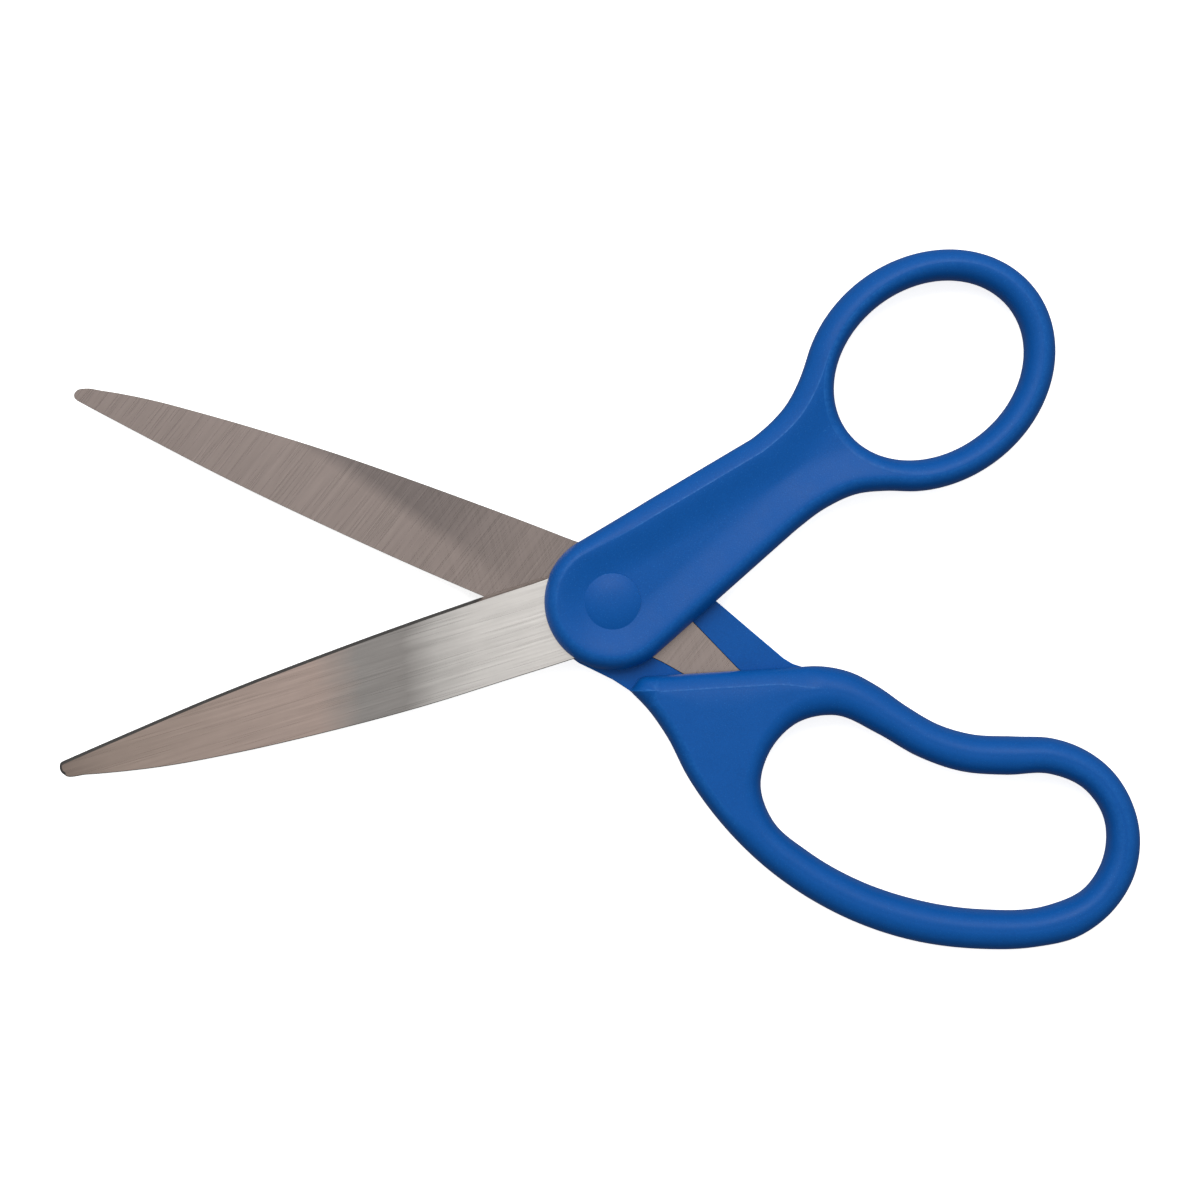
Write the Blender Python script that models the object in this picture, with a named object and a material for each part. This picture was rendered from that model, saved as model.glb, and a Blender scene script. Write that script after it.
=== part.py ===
"""Office scissors, 203 mm long when closed.

Two stamped steel blades have plastic handles moulded round their tangs, and turn on one steel
rivet. The rest pose lies flat, partly open. +Z is up, the origin is on the rivet's axis in the
plane that the scissors lie on, the blade tips point to -X and the finger loops to +X.

Each half is drawn closed, with its blade along -X, and turned by its parent empty on the rivet.
"""

import math

import bmesh
import bpy
from mathutils import Matrix, Vector

MM = 0.001

# Thickness, bottom to top
GAP = 0.30 * MM  # between pieces that meet
HANDLE_TOP = 9.60 * MM
MID_PLANE = HANDLE_TOP / 2
BLADE_THICK = 1.50 * MM
FINGER_FACE = MID_PLANE - GAP / 2  # inner face of the finger half
THUMB_FACE = MID_PLANE + GAP / 2  # inner face of the thumb half
BACK_BLADE_LOW = FINGER_FACE - BLADE_THICK
FRONT_BLADE_HIGH = THUMB_FACE + BLADE_THICK

# How far each half is turned from its closed place, at rest
THUMB_TURN = math.radians(16.75)
FINGER_TURN = math.radians(-21.12)

# Blades
LAND = 0.20 * MM  # height of the cutting edge's own face
BEVEL_WIDTH = 0.80 * MM  # ground bevel along the cutting edge and round the tip
EDGE_BREAK = 0.12 * MM  # chamfer on every other edge
GROUND_END = -8.0 * MM  # where the ground bevel stops, short of the rivet
GROUND_LOW = 0.9 * MM  # the tip's cutting side is everything further out than this
TIP_START = -100.4 * MM
TANG_START = -22.0 * MM  # the handles' pockets take the blade from here on
PIVOT_HOLE_R = 2.60 * MM
ANCHOR = Vector((27.5, 7.0)) * MM  # hole in the tang that the plastic runs through
ANCHOR_R = 1.70 * MM

# Handles
TUBE_BAND = 2.45 * MM  # width of the rounding along every handle edge
UPPER_BAND = 3.85 * MM  # the wider slope along the thumb handle's upper edge
ROUND_HIGH = 2.90 * MM  # height of that rounding
THUMB_END_R = 12.00 * MM  # round end over the rivet
FINGER_END_R = 11.80 * MM
RING_CENTRE = Vector((64.65, 22.76)) * MM
RING_OUTER = (23.35 * MM, 19.75 * MM)
RING_HOLE = (17.85 * MM, 14.37 * MM)
RING_TILT = math.radians(20.8)
DISH_DEEP = 1.20 * MM
DISH_NEAR_R = 8.90 * MM  # the dish's round end, about the rivet
DISH_FAR = Vector((34.2, 11.4)) * MM  # centre of its narrow end
DISH_FAR_R = 4.40 * MM
DISH_SLOPE = 3.40 * MM  # width of the slope from its rim to its floor
DOME_R = 4.90 * MM
DOME_HIGH = 0.90 * MM  # dome above the dish's floor
CORNER_REACH = 0.60 * MM  # how far short of a ledge's corner point the rounding still runs

# Rivet and washer
SHANK_R = 2.50 * MM
HEAD_R = 4.20 * MM
HEAD_THICK = 1.00 * MM
END_R = 4.00 * MM
END_THICK = 1.60 * MM
END_CHAMFER = 0.50 * MM
WASHER_R = 4.90 * MM
WASHER_THICK = 0.90 * MM
WASHER_PLAY = 0.20 * MM
ROUND_STEPS = 48


def mm(*points):
    """Points given in millimetres, as vectors in metres."""
    return [Vector(p) * MM for p in points]


def smooth_path(points, steps):
    """A smooth open path through the points, with this many steps from each point to the next."""

    def heading(a, b, c):
        before, after = (b - a).length, (c - b).length
        return ((b - a) / before * after + (c - b) / after * before) / (before + after)

    inner = [heading(a, b, c) for a, b, c in zip(points, points[1:], points[2:])]
    first = 1.5 * (points[1] - points[0]).normalized() - 0.5 * inner[0]
    last = 1.5 * (points[-1] - points[-2]).normalized() - 0.5 * inner[-1]
    headings = [first, *inner, last]
    path = []
    for a, b, out, into in zip(points, points[1:], headings, headings[1:]):
        span = (b - a).length
        for step in range(steps):
            t = step / steps
            path.append(
                (2 * t**3 - 3 * t**2 + 1) * a
                + (t**3 - 2 * t**2 + t) * span * out
                + (3 * t**2 - 2 * t**3) * b
                + (t**3 - t**2) * span * into
            )
    return [*path, points[-1]]


def smooth_ring(points, steps):
    """A smooth closed path through the points."""
    wrapped = smooth_path([*points[-2:], *points, *points[:2]], steps)
    return wrapped[2 * steps : (2 + len(points)) * steps]


def arc(radius, start, end, steps, centre=Vector((0, 0))):
    """Points on an arc from one angle to another, in degrees."""
    angles = [math.radians(start + (end - start) * i / steps) for i in range(steps + 1)]
    return [centre + Vector((math.cos(a), math.sin(a))) * radius for a in angles]


def ellipse(centre, half_axes, tilt, start, end, steps):
    """Points on a tilted ellipse, with its own angles in degrees."""
    turned = Matrix.Rotation(tilt, 2)
    angles = [math.radians(start + (end - start) * i / steps) for i in range(steps + 1)]
    return [
        centre + turned @ Vector((half_axes[0] * math.cos(a), half_axes[1] * math.sin(a)))
        for a in angles
    ]


def circle(radius, centre=Vector((0, 0)), steps=ROUND_STEPS):
    return arc(radius, 0, 360, steps, centre)[:-1]


def inward(ring, width):
    """A ring moved to the left of its direction, which is inwards when it runs counter-clockwise.

    width is one distance, or one for each point. Corners keep the distance from both sides.
    """
    widths = width if isinstance(width, list) else [width] * len(ring)
    moved = []
    for i, point in enumerate(ring):
        before = (point - ring[i - 1]).normalized()
        after = (ring[(i + 1) % len(ring)] - point).normalized()
        along = (before + after).normalized()
        normal = Vector((-along.y, along.x))
        moved.append(point + normal * widths[i] / max(0.5, along.dot(before)))
    return moved


# ---------------------------------------------------------------- outlines, each half closed


def blade_outline(tip_and_spine):
    """Counter-clockwise, with the cutting edge at +Y. Only the tip and the spine differ."""
    tang = mm((2, -7.2), (8.2, -5.2), (14.2, -1.84), (24.6, 3.0), (30.5, 5.5))
    tang_end = arc(2.6 * MM, -60, 90, 5, Vector((30.4, 7.7)) * MM)
    tang_top = mm((24.0, 9.0), (15.9, 7.3), (10.3, 6.6), (2, 7.3))
    cutting_edge = mm((-10, 7.5), (-29.4, 7.02), (-50.4, 5.88), (-71.4, 4.25), (-88.2, 2.40))
    return [
        *smooth_path([*tip_and_spine, *tang[:2]], 3),
        *tang[2:4],
        *tang_end,
        *smooth_path([*tang_top, *cutting_edge, Vector((-100.0, 1.0)) * MM], 3),
    ]


def front_blade_outline():
    blunt_tip = mm((-100.6, 0.85), (-100.95, 0.2), (-100.9, -0.9), (-100.5, -1.45))
    spine = mm((-96.6, -2.5), (-92.4, -3.4), (-84, -4.9), (-71.4, -6.32), (-54.6, -7.45))
    return blade_outline([*blunt_tip, *spine, *mm((-37.8, -8.0), (-20, -7.8), (-8, -7.6))])


def back_blade_outline():
    """Drawn with the cutting edge at +Y and mirrored into place, so both blades cut past each other."""
    round_tip = mm((-100.7, 0.73), (-101.0, 0.1), (-100.7, -0.8), (-99.6, -1.5))
    spine = mm((-96.6, -2.25), (-88.2, -3.8), (-79.8, -4.76), (-67.2, -5.88), (-54.6, -6.69))
    return blade_outline([*round_tip, *spine, *mm((-42, -7.13), (-29.4, -7.39), (-12, -7.5))])


def mirrored(ring):
    """The ring with Y reversed, still counter-clockwise."""
    return [Vector((p.x, -p.y)) for p in reversed(ring)]


def thumb_outline():
    """The thumb handle's edge as (loop, plate end, raised end), counter-clockwise when joined.

    loop runs from the ledge under the ring, round the ring, to the ledge's other end. The plate
    end closes the top half round the rivet; the raised end closes the bottom half at the ledge.
    """
    under_ring = ellipse(RING_CENTRE, RING_OUTER, RING_TILT, 235, 250, 2)
    over_ring = ellipse(RING_CENTRE, RING_OUTER, RING_TILT, 250, 490, 30)
    neck_low = mm((34.0, 2.55), (40.5, 4.95), (46.6, 5.7), (52.5, 4.5))
    neck_high = mm((41.8, 26.9), (38.8, 24.0), (35.3, 21.85), (31.5, 20.2))
    loop = [
        *smooth_path([*neck_low, *under_ring[:2]], 3)[:-1],
        *under_ring[1:2],
        *over_ring[:-1],
        *smooth_path([over_ring[-1], *neck_high], 3),
        Vector((8.3, 14.45)) * MM,
    ]
    plate_end = arc(THUMB_END_R, 104.0, 294.3, 26)
    raised_end = mm((9.3, 10.9), (10.0, 10.7))
    return loop, plate_end, raised_end


def finger_outline():
    """The finger handle's edge as (loop, plate end, raised end), as for the thumb handle."""
    bow_low = mm((8.5, -13.5), (12.3, -15.2), (17.3, -18.5), (23.4, -23.9), (31.9, -29.4))
    bow_middle = mm((41.4, -33.6), (51.2, -36.1), (61.2, -37.0), (71.5, -36.2), (81.3, -33.7))
    bow_end = mm((90.6, -29.8), (97.2, -25.2), (101.2, -18.6), (102.35, -11.8), (100.6, -4.6))
    bow_top = mm((97.0, 0.4), (92.0, 4.0), (86.2, 5.6), (80.5, 5.4), (74.4, 3.4), (66.7, 0.9))
    bow_grip = mm((61.0, 0.45), (54.7, 1.4), (48.5, 2.9), (43.2, 3.45), (38.6, 2.7), (35.0, 1.3))
    loop = smooth_path([*bow_low, *bow_middle, *bow_end, *bow_top, *bow_grip], 3)
    plate_end = [
        *mm((33.4, 1.2), (31.6, 1.5)),
        *arc(FINGER_END_R, 71.0, 239.0, 22),
        *mm((-4.0, -11.5), (-1.6, -12.2), (1.0, -12.4), (5.0, -12.75)),
    ]
    raised_end = mm((9.9, -10.2), (9.2, -10.9))
    return loop, plate_end, raised_end


def finger_hole():
    left = mm((43.5, -4.5), (38.0, -7.9), (35.2, -14.0), (35.8, -20.8), (40.0, -25.7))
    low = mm((47.7, -28.5), (57.7, -30.0), (67.8, -29.6), (79.6, -27.0), (90.2, -22.2))
    right = mm((95.2, -17.0), (96.3, -10.5), (93.8, -4.2), (88.5, -0.7), (82.2, -0.55))
    top = mm((75.3, -3.4), (67.6, -5.7), (59.5, -6.0), (51.5, -4.8))
    return smooth_ring([*left, *low, *right, *top], 3)


def thumb_hole():
    return ellipse(RING_CENTRE, RING_HOLE, RING_TILT, 0, 360, 48)[:-1]


# ---------------------------------------------------------------- building


def extrude_ring(mesh, ring, points, height):
    """Extrudes a closed ring of vertices and moves the new ring to the points at this height."""
    edges = [mesh.edges.get((a, b)) for a, b in zip(ring, [*ring[1:], ring[0]])]
    made = bmesh.ops.extrude_edge_only(mesh, edges=edges)["geom"]
    grown = {item for item in made if isinstance(item, bmesh.types.BMVert)}
    following = []
    for vertex, point in zip(ring, points):
        upper = next(e.other_vert(vertex) for e in vertex.link_edges if e.other_vert(vertex) in grown)
        upper.co = (point.x, point.y, height)
        following.append(upper)
    return following


def new_ring(mesh, points, height, after=()):
    """Vertices at the points, joined in a closed ring. after holds vertices that come first."""
    ring = [*after, *(mesh.verts.new((p.x, p.y, height)) for p in points)]
    for a, b in zip(ring, [*ring[1:], ring[0]]):
        if mesh.edges.get((a, b)) is None:
            mesh.edges.new((a, b))
    return ring


def fill(mesh, *rings):
    """Flat faces between rings, or inside one."""
    edges = [mesh.edges.get((a, b)) for ring in rings for a, b in zip(ring, [*ring[1:], ring[0]])]
    bmesh.ops.triangle_fill(mesh, use_beauty=True, edges=edges)


def finished(name, mesh, parent=None, material=None):
    """An object from the bmesh, with its normals out and its doubles merged."""
    bmesh.ops.remove_doubles(mesh, verts=mesh.verts, dist=0.001 * MM)
    bmesh.ops.recalc_face_normals(mesh, faces=mesh.faces)
    data = bpy.data.meshes.new(name)
    mesh.to_mesh(data)
    mesh.free()
    data.shade_smooth()
    data.set_sharp_from_angle(angle=math.radians(35))
    item = bpy.data.objects.new(name, data)
    bpy.context.scene.collection.objects.link(item)
    item.parent = parent
    if material:
        data.materials.append(material)
    return item


def solid_between(name, outline, holes, low, high, **place):
    """A flat solid with upright sides."""
    mesh = bmesh.new()
    rings = [new_ring(mesh, ring, low) for ring in [outline, *holes]]
    fill(mesh, *rings)
    tops = [
        extrude_ring(mesh, ring, points, high)
        for ring, points in zip(rings, [outline, *holes])
    ]
    fill(mesh, *tops)
    return finished(name, mesh, **place)


def turned(name, profile, **place):
    """A round solid on the rivet's axis from (radius, height) pairs, bottom to top."""
    mesh = bmesh.new()
    ring = new_ring(mesh, circle(profile[0][0]), profile[0][1])
    fill(mesh, ring)
    for radius, height in profile[1:]:
        ring = extrude_ring(mesh, ring, circle(radius), height)
    fill(mesh, ring)
    return finished(name, mesh, **place)


def cutter(item):
    item.hide_render = True
    item.display_type = "WIRE"
    return item


def cut(item, tool, operation="DIFFERENCE"):
    boolean = item.modifiers.new(tool.name, "BOOLEAN")
    boolean.operation = operation
    boolean.object = cutter(tool)
    boolean.solver = "EXACT"


def rounded_to(mesh, ring, points, crest, middle, top):
    """Takes a ring from the middle plane up, or down, to its crest through a quarter-round."""
    direction = 1 if top > middle else -1
    shoulder = top - direction * ROUND_HIGH
    ring = extrude_ring(mesh, ring, points, shoulder)
    for angle in (30, 60, 90):
        turn = math.radians(angle)
        between = [p.lerp(c, 1 - math.cos(turn)) for p, c in zip(points, crest)]
        ring = extrude_ring(mesh, ring, between, shoulder + (top - shoulder) * math.sin(turn))
    return ring


def handle(name, outline, hole, middle, plate_on_top, band, corner, **place):
    """A handle: full thickness at its loop, half thickness where its plate covers the rivet.

    The plate is the top half of the thumb handle and the bottom half of the finger handle. The
    other half ends at the ledge, and the ledge's free end slopes to one point, the corner.
    """
    loop, plate_end, raised_end = outline
    mesh = bmesh.new()
    plate_ring = new_ring(mesh, [*loop, *plate_end], middle)
    raised_ring = new_ring(mesh, raised_end, middle, after=plate_ring[: len(loop)])
    hole_ring = new_ring(mesh, hole, middle)
    plate_points = [*loop, *plate_end]
    raised_points = [*loop, *raised_end]
    plate_level, raised_level = (HANDLE_TOP, 0) if plate_on_top else (0, HANDLE_TOP)

    hole_crest = inward(hole, -TUBE_BAND)
    plate_crest = inward(plate_points, [band(p) for p in plate_points])
    raised_crest = inward(raised_points, TUBE_BAND)
    raised_crest = [
        corner if p.x < corner.x - CORNER_REACH else crest
        for p, crest in zip(raised_points, raised_crest)
    ]

    plate_top = rounded_to(mesh, plate_ring, plate_points, plate_crest, middle, plate_level)
    plate_hole = rounded_to(mesh, hole_ring, hole, hole_crest, middle, plate_level)
    fill(mesh, plate_top, plate_hole)
    raised_top = rounded_to(mesh, raised_ring, raised_points, raised_crest, middle, raised_level)
    raised_hole = rounded_to(mesh, hole_ring, hole, hole_crest, middle, raised_level)
    bmesh.ops.remove_doubles(mesh, verts=raised_top, dist=0.001 * MM)
    raised_top = [v for v in raised_top if v.is_valid]
    fill(mesh, raised_top, raised_hole)

    ledge = [*raised_ring[len(loop) - 1 :], raised_ring[0]]
    plate = [*plate_ring[len(loop) - 1 :], plate_ring[0]]
    fill(mesh, [*plate, *reversed(ledge[1:-1])])
    return finished(name, mesh, **place)


def thumb_band(point):
    """Width of the thumb handle's rounding, which is greater along its straight upper edge."""
    above_axis = point.y > point.x * math.tan(math.radians(19)) + 4 * MM
    share = min(1.0, point.x / (8 * MM), (44 * MM - point.x) / (8 * MM)) if above_axis else 0.0
    return TUBE_BAND + (UPPER_BAND - TUBE_BAND) * max(0.0, share)


def finger_band(_point):
    """Width of the finger handle's rounding, the same all round."""
    return TUBE_BAND


def dish_cutter(parent):
    """The shallow dish in the thumb handle's face, round the rivet's dome and along the plate."""
    rim = [*arc(DISH_NEAR_R, 112, 292, 14), *arc(DISH_FAR_R, -55, 95, 8, DISH_FAR)]
    mesh = bmesh.new()
    floor = new_ring(mesh, inward(rim, DISH_SLOPE), HANDLE_TOP - DISH_DEEP)
    fill(mesh, floor)
    ring = extrude_ring(mesh, floor, rim, HANDLE_TOP)
    ring = extrude_ring(mesh, ring, inward(rim, -1.0 * MM), HANDLE_TOP + 0.4 * MM)
    fill(mesh, ring)
    return finished("dish_cutter", mesh, parent=parent)


def tang_pocket(name, outline, low, high, mirror, parent):
    """The slot for a blade's tang, with the post that runs through the tang's anchor hole."""
    side = -1 if mirror else 1
    post = circle(ANCHOR_R - GAP, Vector((ANCHOR.x, side * ANCHOR.y)), 20)
    near = [p for p in inward(outline, -GAP) if p.x > TANG_START]
    return solid_between(name, near, [post], low, high, parent=parent)


# ---------------------------------------------------------------- pieces


def plastic(name):
    material = bpy.data.materials.new(name)
    material.use_nodes = True
    shader = material.node_tree.nodes["Principled BSDF"]
    shader.inputs["Base Color"].default_value = (0.019, 0.107, 0.361, 1)
    shader.inputs["Roughness"].default_value = 0.42
    return material


def steel(name, colour, roughness):
    material = bpy.data.materials.new(name)
    material.use_nodes = True
    shader = material.node_tree.nodes["Principled BSDF"]
    shader.inputs["Base Color"].default_value = (*colour, 1)
    shader.inputs["Metallic"].default_value = 1.0
    shader.inputs["Roughness"].default_value = roughness
    return material


def half(name, turn):
    """The empty on the rivet's axis that carries one half of the scissors."""
    empty = bpy.data.objects.new(name, None)
    bpy.context.scene.collection.objects.link(empty)
    empty.rotation_euler.z = turn
    return empty


def blade(name, outline, mirror, inner, outer, parent, material):
    """A flat blade with a ground bevel along its cutting edge, a pivot hole and an anchor hole."""
    side = -1 if mirror else 1
    ring_points = mirrored(outline) if mirror else outline
    direction = 1 if outer > inner else -1

    def ground(point):
        cutting = side * point.y > GROUND_LOW and point.x < GROUND_END
        return BEVEL_WIDTH if cutting or point.x < TIP_START else EDGE_BREAK

    ground_ring = inward(ring_points, [ground(p) for p in ring_points])
    anchor = circle(ANCHOR_R, Vector((ANCHOR.x, side * ANCHOR.y)), 24)
    pivot = circle(PIVOT_HOLE_R)
    mesh = bmesh.new()
    rings = [new_ring(mesh, ring, inner) for ring in (ring_points, pivot, anchor)]
    fill(mesh, *rings)
    edge = extrude_ring(mesh, rings[0], ring_points, inner + direction * LAND)
    edge = extrude_ring(mesh, edge, ground_ring, outer)
    pivot_top = extrude_ring(mesh, rings[1], pivot, outer)
    anchor_top = extrude_ring(mesh, rings[2], anchor, outer)
    fill(mesh, edge, pivot_top, anchor_top)
    return finished(name, mesh, parent=parent, material=material)


def thumb_handle(parent):
    item = handle(
        "thumb_handle",
        thumb_outline(),
        thumb_hole(),
        THUMB_FACE,
        plate_on_top=True,
        band=thumb_band,
        corner=Vector((13.0, 12.6)) * MM,
        parent=parent,
        material=plastic("thumb_plastic"),
    )
    cut(item, dish_cutter(parent))
    floor = HANDLE_TOP - DISH_DEEP
    rise = [math.radians(a) for a in (0, 30, 60, 80)]
    dome = [(DOME_R * math.cos(a), floor + DOME_HIGH * math.sin(a)) for a in rise]
    cut(item, turned("dome", [(DOME_R, floor - 0.3 * MM), *dome], parent=parent), "UNION")
    front = front_blade_outline()
    low, high = THUMB_FACE - GAP, FRONT_BLADE_HIGH + GAP
    cut(item, tang_pocket("front_tang_pocket", front, low, high, False, parent))
    room = HEAD_R + GAP
    head_top = FRONT_BLADE_HIGH + HEAD_THICK + 2 * GAP
    cut(item, turned("head_room", [(room, THUMB_FACE + 0.5 * MM), (room, head_top)], parent=parent))
    return item


def finger_handle(parent):
    item = handle(
        "finger_handle",
        finger_outline(),
        finger_hole(),
        FINGER_FACE,
        plate_on_top=False,
        band=finger_band,
        corner=Vector((12.7, -11.7)) * MM,
        parent=parent,
        material=plastic("finger_plastic"),
    )
    back = mirrored(back_blade_outline())
    low, high = BACK_BLADE_LOW - GAP, FINGER_FACE + GAP
    cut(item, tang_pocket("back_tang_pocket", back, low, high, True, parent))
    room = WASHER_R + GAP
    cut(item, turned("washer_room", [(room, -1 * MM), (room, BACK_BLADE_LOW)], parent=parent))
    return item


def pivot_rivet(parent, material):
    """Its head is under the dome, and its flat end lies level with the handle's back."""
    head_low = FRONT_BLADE_HIGH + GAP
    head_high = head_low + HEAD_THICK
    profile = [
        (END_R - END_CHAMFER, 0),
        (END_R, END_CHAMFER),
        (END_R, END_THICK),
        (SHANK_R, END_THICK),
        (SHANK_R, head_low),
        (HEAD_R, head_low),
        (HEAD_R, head_high - END_CHAMFER),
        (HEAD_R - END_CHAMFER, head_high),
    ]
    return turned("pivot_rivet", profile, parent=parent, material=material)


def rivet_washer(parent, material):
    high = BACK_BLADE_LOW - GAP
    return solid_between(
        "rivet_washer",
        circle(WASHER_R),
        [circle(SHANK_R + WASHER_PLAY)],
        high - WASHER_THICK,
        high,
        parent=parent,
        material=material,
    )


def main():
    for item in list(bpy.data.objects):
        bpy.data.objects.remove(item, do_unlink=True)
    thumb_half = half("thumb_half", THUMB_TURN)
    finger_half = half("finger_half", FINGER_TURN)
    front_steel = steel("front_steel", (0.58, 0.56, 0.54), 0.32)
    back_steel = steel("back_steel", (0.50, 0.46, 0.43), 0.38)
    rivet_steel = steel("rivet_steel", (0.60, 0.60, 0.61), 0.28)
    washer_steel = steel("washer_steel", (0.55, 0.55, 0.56), 0.35)
    thumb_handle(thumb_half)
    finger_handle(finger_half)
    front, back = front_blade_outline(), back_blade_outline()
    blade("front_blade", front, False, THUMB_FACE, FRONT_BLADE_HIGH, thumb_half, front_steel)
    blade("back_blade", back, True, FINGER_FACE, BACK_BLADE_LOW, finger_half, back_steel)
    pivot_rivet(thumb_half, rivet_steel)
    rivet_washer(thumb_half, washer_steel)


main()
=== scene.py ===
"""Office scissors with moulded blue handles, ground steel blades and one rivet.

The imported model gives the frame: the rivet's axis is the origin's Z, +Z is up, the blade tips
point to -X. Each half is drawn closed, with its blade along -X, and turned about the rivet.
"""

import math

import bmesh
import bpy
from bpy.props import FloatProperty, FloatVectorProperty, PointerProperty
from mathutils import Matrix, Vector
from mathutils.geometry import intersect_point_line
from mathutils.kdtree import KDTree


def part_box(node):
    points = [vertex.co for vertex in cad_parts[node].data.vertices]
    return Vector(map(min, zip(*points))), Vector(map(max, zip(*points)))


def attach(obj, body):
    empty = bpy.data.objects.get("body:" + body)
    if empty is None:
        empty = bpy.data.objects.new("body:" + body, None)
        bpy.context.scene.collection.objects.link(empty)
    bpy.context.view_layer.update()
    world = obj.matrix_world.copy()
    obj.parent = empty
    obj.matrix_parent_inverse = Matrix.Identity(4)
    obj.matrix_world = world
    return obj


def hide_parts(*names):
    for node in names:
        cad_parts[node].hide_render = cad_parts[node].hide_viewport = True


bl_info = {
    "name": "Office Scissors",
    "version": (1, 0, 0),
    "blender": (4, 5, 0),
    "location": "3D View > Sidebar > Scissors",
    "description": "Moulded handles, ground blades and rivet of a pair of office scissors",
    "category": "Add Mesh",
}

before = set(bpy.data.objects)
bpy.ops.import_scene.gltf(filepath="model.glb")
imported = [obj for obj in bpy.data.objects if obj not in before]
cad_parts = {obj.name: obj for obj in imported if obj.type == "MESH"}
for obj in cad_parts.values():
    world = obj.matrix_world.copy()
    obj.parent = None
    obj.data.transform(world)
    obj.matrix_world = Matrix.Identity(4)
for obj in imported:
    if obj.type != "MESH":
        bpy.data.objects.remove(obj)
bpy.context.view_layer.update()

MM = 0.001

# Levels, from the frame
HANDLE_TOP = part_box("thumb_handle")[1].z
THUMB_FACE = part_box("front_blade")[0].z  # where the thumb half slides on the finger half
FRONT_BLADE_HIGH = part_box("front_blade")[1].z
BACK_BLADE_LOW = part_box("back_blade")[0].z
FINGER_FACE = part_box("back_blade")[1].z
WASHER_LOW, WASHER_HIGH = (corner.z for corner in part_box("rivet_washer"))
RIVET_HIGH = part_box("pivot_rivet")[1].z

# How far each half is turned from its closed place, at rest
THUMB_TURN = math.radians(16.75)
FINGER_TURN = math.radians(-21.12)

# The handles' plan
THUMB_END_R = 12.00 * MM
FINGER_END_R = 11.80 * MM
RING_CENTRE = Vector((64.65, 22.76)) * MM
RING_OUTER = (23.35 * MM, 19.75 * MM)
RING_HOLE = (17.85 * MM, 14.37 * MM)
RING_TILT = math.radians(20.8)
RING_START, RING_END = 236, 490  # degrees round the ring, from the neck's lower side to its upper
RING_STEPS = 140
WEB_START = RING_END - 360
WEB_STEPS = 48

# The handles' sections. A rounding is its fullness and its slope
WEB_ROUNDING = (2.3, 0.05)
FRONT_ROUNDING = (2.2, 0.07)  # on the thumb handle's front
BAND = (4.0, 0.45)  # the broad bands along the thumb handle's upper side and the ledges
FLAT_CORE = 0.47  # share of a bow's width that each side's rounding takes
PARTING_FLASH = 0.04 * MM  # how far the parting line stands out
EDGE_BREAK = 0.15 * MM
CREST_SOFTNESS = 0.16 * MM  # over which a band's slope starts
LEDGE_WIDER = 0.16  # how much wider a ledge's band is than the other roundings
LEDGE_REACH = 3.8 * MM  # over which the web rises from a ledge's crest to its flat
LEDGE_DROP = 0.34 * MM
LEDGE_FADE = 12  # points over which the loop's rounding turns into the ledge's band
THUMB_CORNER = Vector((13.0, 12.6)) * MM  # where each ledge's free end slopes to
FINGER_CORNER = Vector((12.7, -11.7)) * MM
BOW_START = 30 * MM  # from here on, the finger handle's rounding grows wider
BOW_FADE = 12 * MM
BOW_WIDER = 0.65
DOME_FOOT = 0.87  # share of the dish's depth at which the dome starts
PLAY = 0.08 * MM  # room round a tang, a rivet or a washer
WELD = 0.0005 * MM  # points this close are one
SHARP = math.radians(35)  # edges that turn more than this aren't shaded smooth

# Tangs, rivet and washer
TANG_START = -22.0 * MM
ANCHOR = Vector((27.5, 7.0)) * MM
ANCHOR_R = 1.70 * MM
PIVOT_HOLE_R = 2.60 * MM
SHANK_R = 2.50 * MM
WASHER_R = 4.90 * MM
RIVET_END_R = 4.00 * MM
RIVET_HEAD_R = 4.20 * MM
RIVET_END_THICK = 1.60 * MM
RIVET_HEAD_THICK = 1.00 * MM

# Blades
TIP_END = -100.4 * MM  # past here, the outline is the tip
CUTTING_SIDE = 0.9 * MM  # past here across the blade, the outline is the cutting edge
BEVEL_END = -6 * MM  # the bevel fades in from here towards the tip
BEVEL_FADE = 6 * MM
BURR = 0.04 * MM
GRIND_ANGLE = 73  # degrees from the blade's length to the back blade's grinding lines

# Stage
CAMERA_OVER = Vector((-2.19, 0.26)) * MM
PANEL_PLACE = (-0.08, 0.50, 0.87)
PANEL_SIZE = (0.9, 0.5)
FLOOR_HALF = 2.0
FLOOR_DROP = 0.2 * MM

WEAR = "edge_wear_and_highlight"


# ---------------------------------------------------------------- plan curves


def mm(*points):
    """Points given in millimetres, as vectors in metres."""
    return [Vector(p) * MM for p in points]


def smooth_path(points, steps):
    """A smooth open path through the points, with this many steps from each point to the next."""

    def heading(a, b, c):
        """The path's direction at b, on its way from a to c."""
        before, after = (b - a).length, (c - b).length
        return ((b - a) / before * after + (c - b) / after * before) / (before + after)

    inner = [heading(a, b, c) for a, b, c in zip(points, points[1:], points[2:])]
    first = 1.5 * (points[1] - points[0]).normalized() - 0.5 * inner[0]
    last = 1.5 * (points[-1] - points[-2]).normalized() - 0.5 * inner[-1]
    headings = [first, *inner, last]
    path = []
    for a, b, out, into in zip(points, points[1:], headings, headings[1:]):
        span = (b - a).length
        for step in range(steps):
            t = step / steps
            path.append(
                (2 * t**3 - 3 * t**2 + 1) * a
                + (t**3 - 2 * t**2 + t) * span * out
                + (3 * t**2 - 2 * t**3) * b
                + (t**3 - t**2) * span * into
            )
    return [*path, points[-1]]


def smooth_ring(points, steps):
    """A smooth closed path through the points."""
    wrapped = smooth_path([*points[-2:], *points, *points[:2]], steps)
    return wrapped[2 * steps : (2 + len(points)) * steps]


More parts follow.
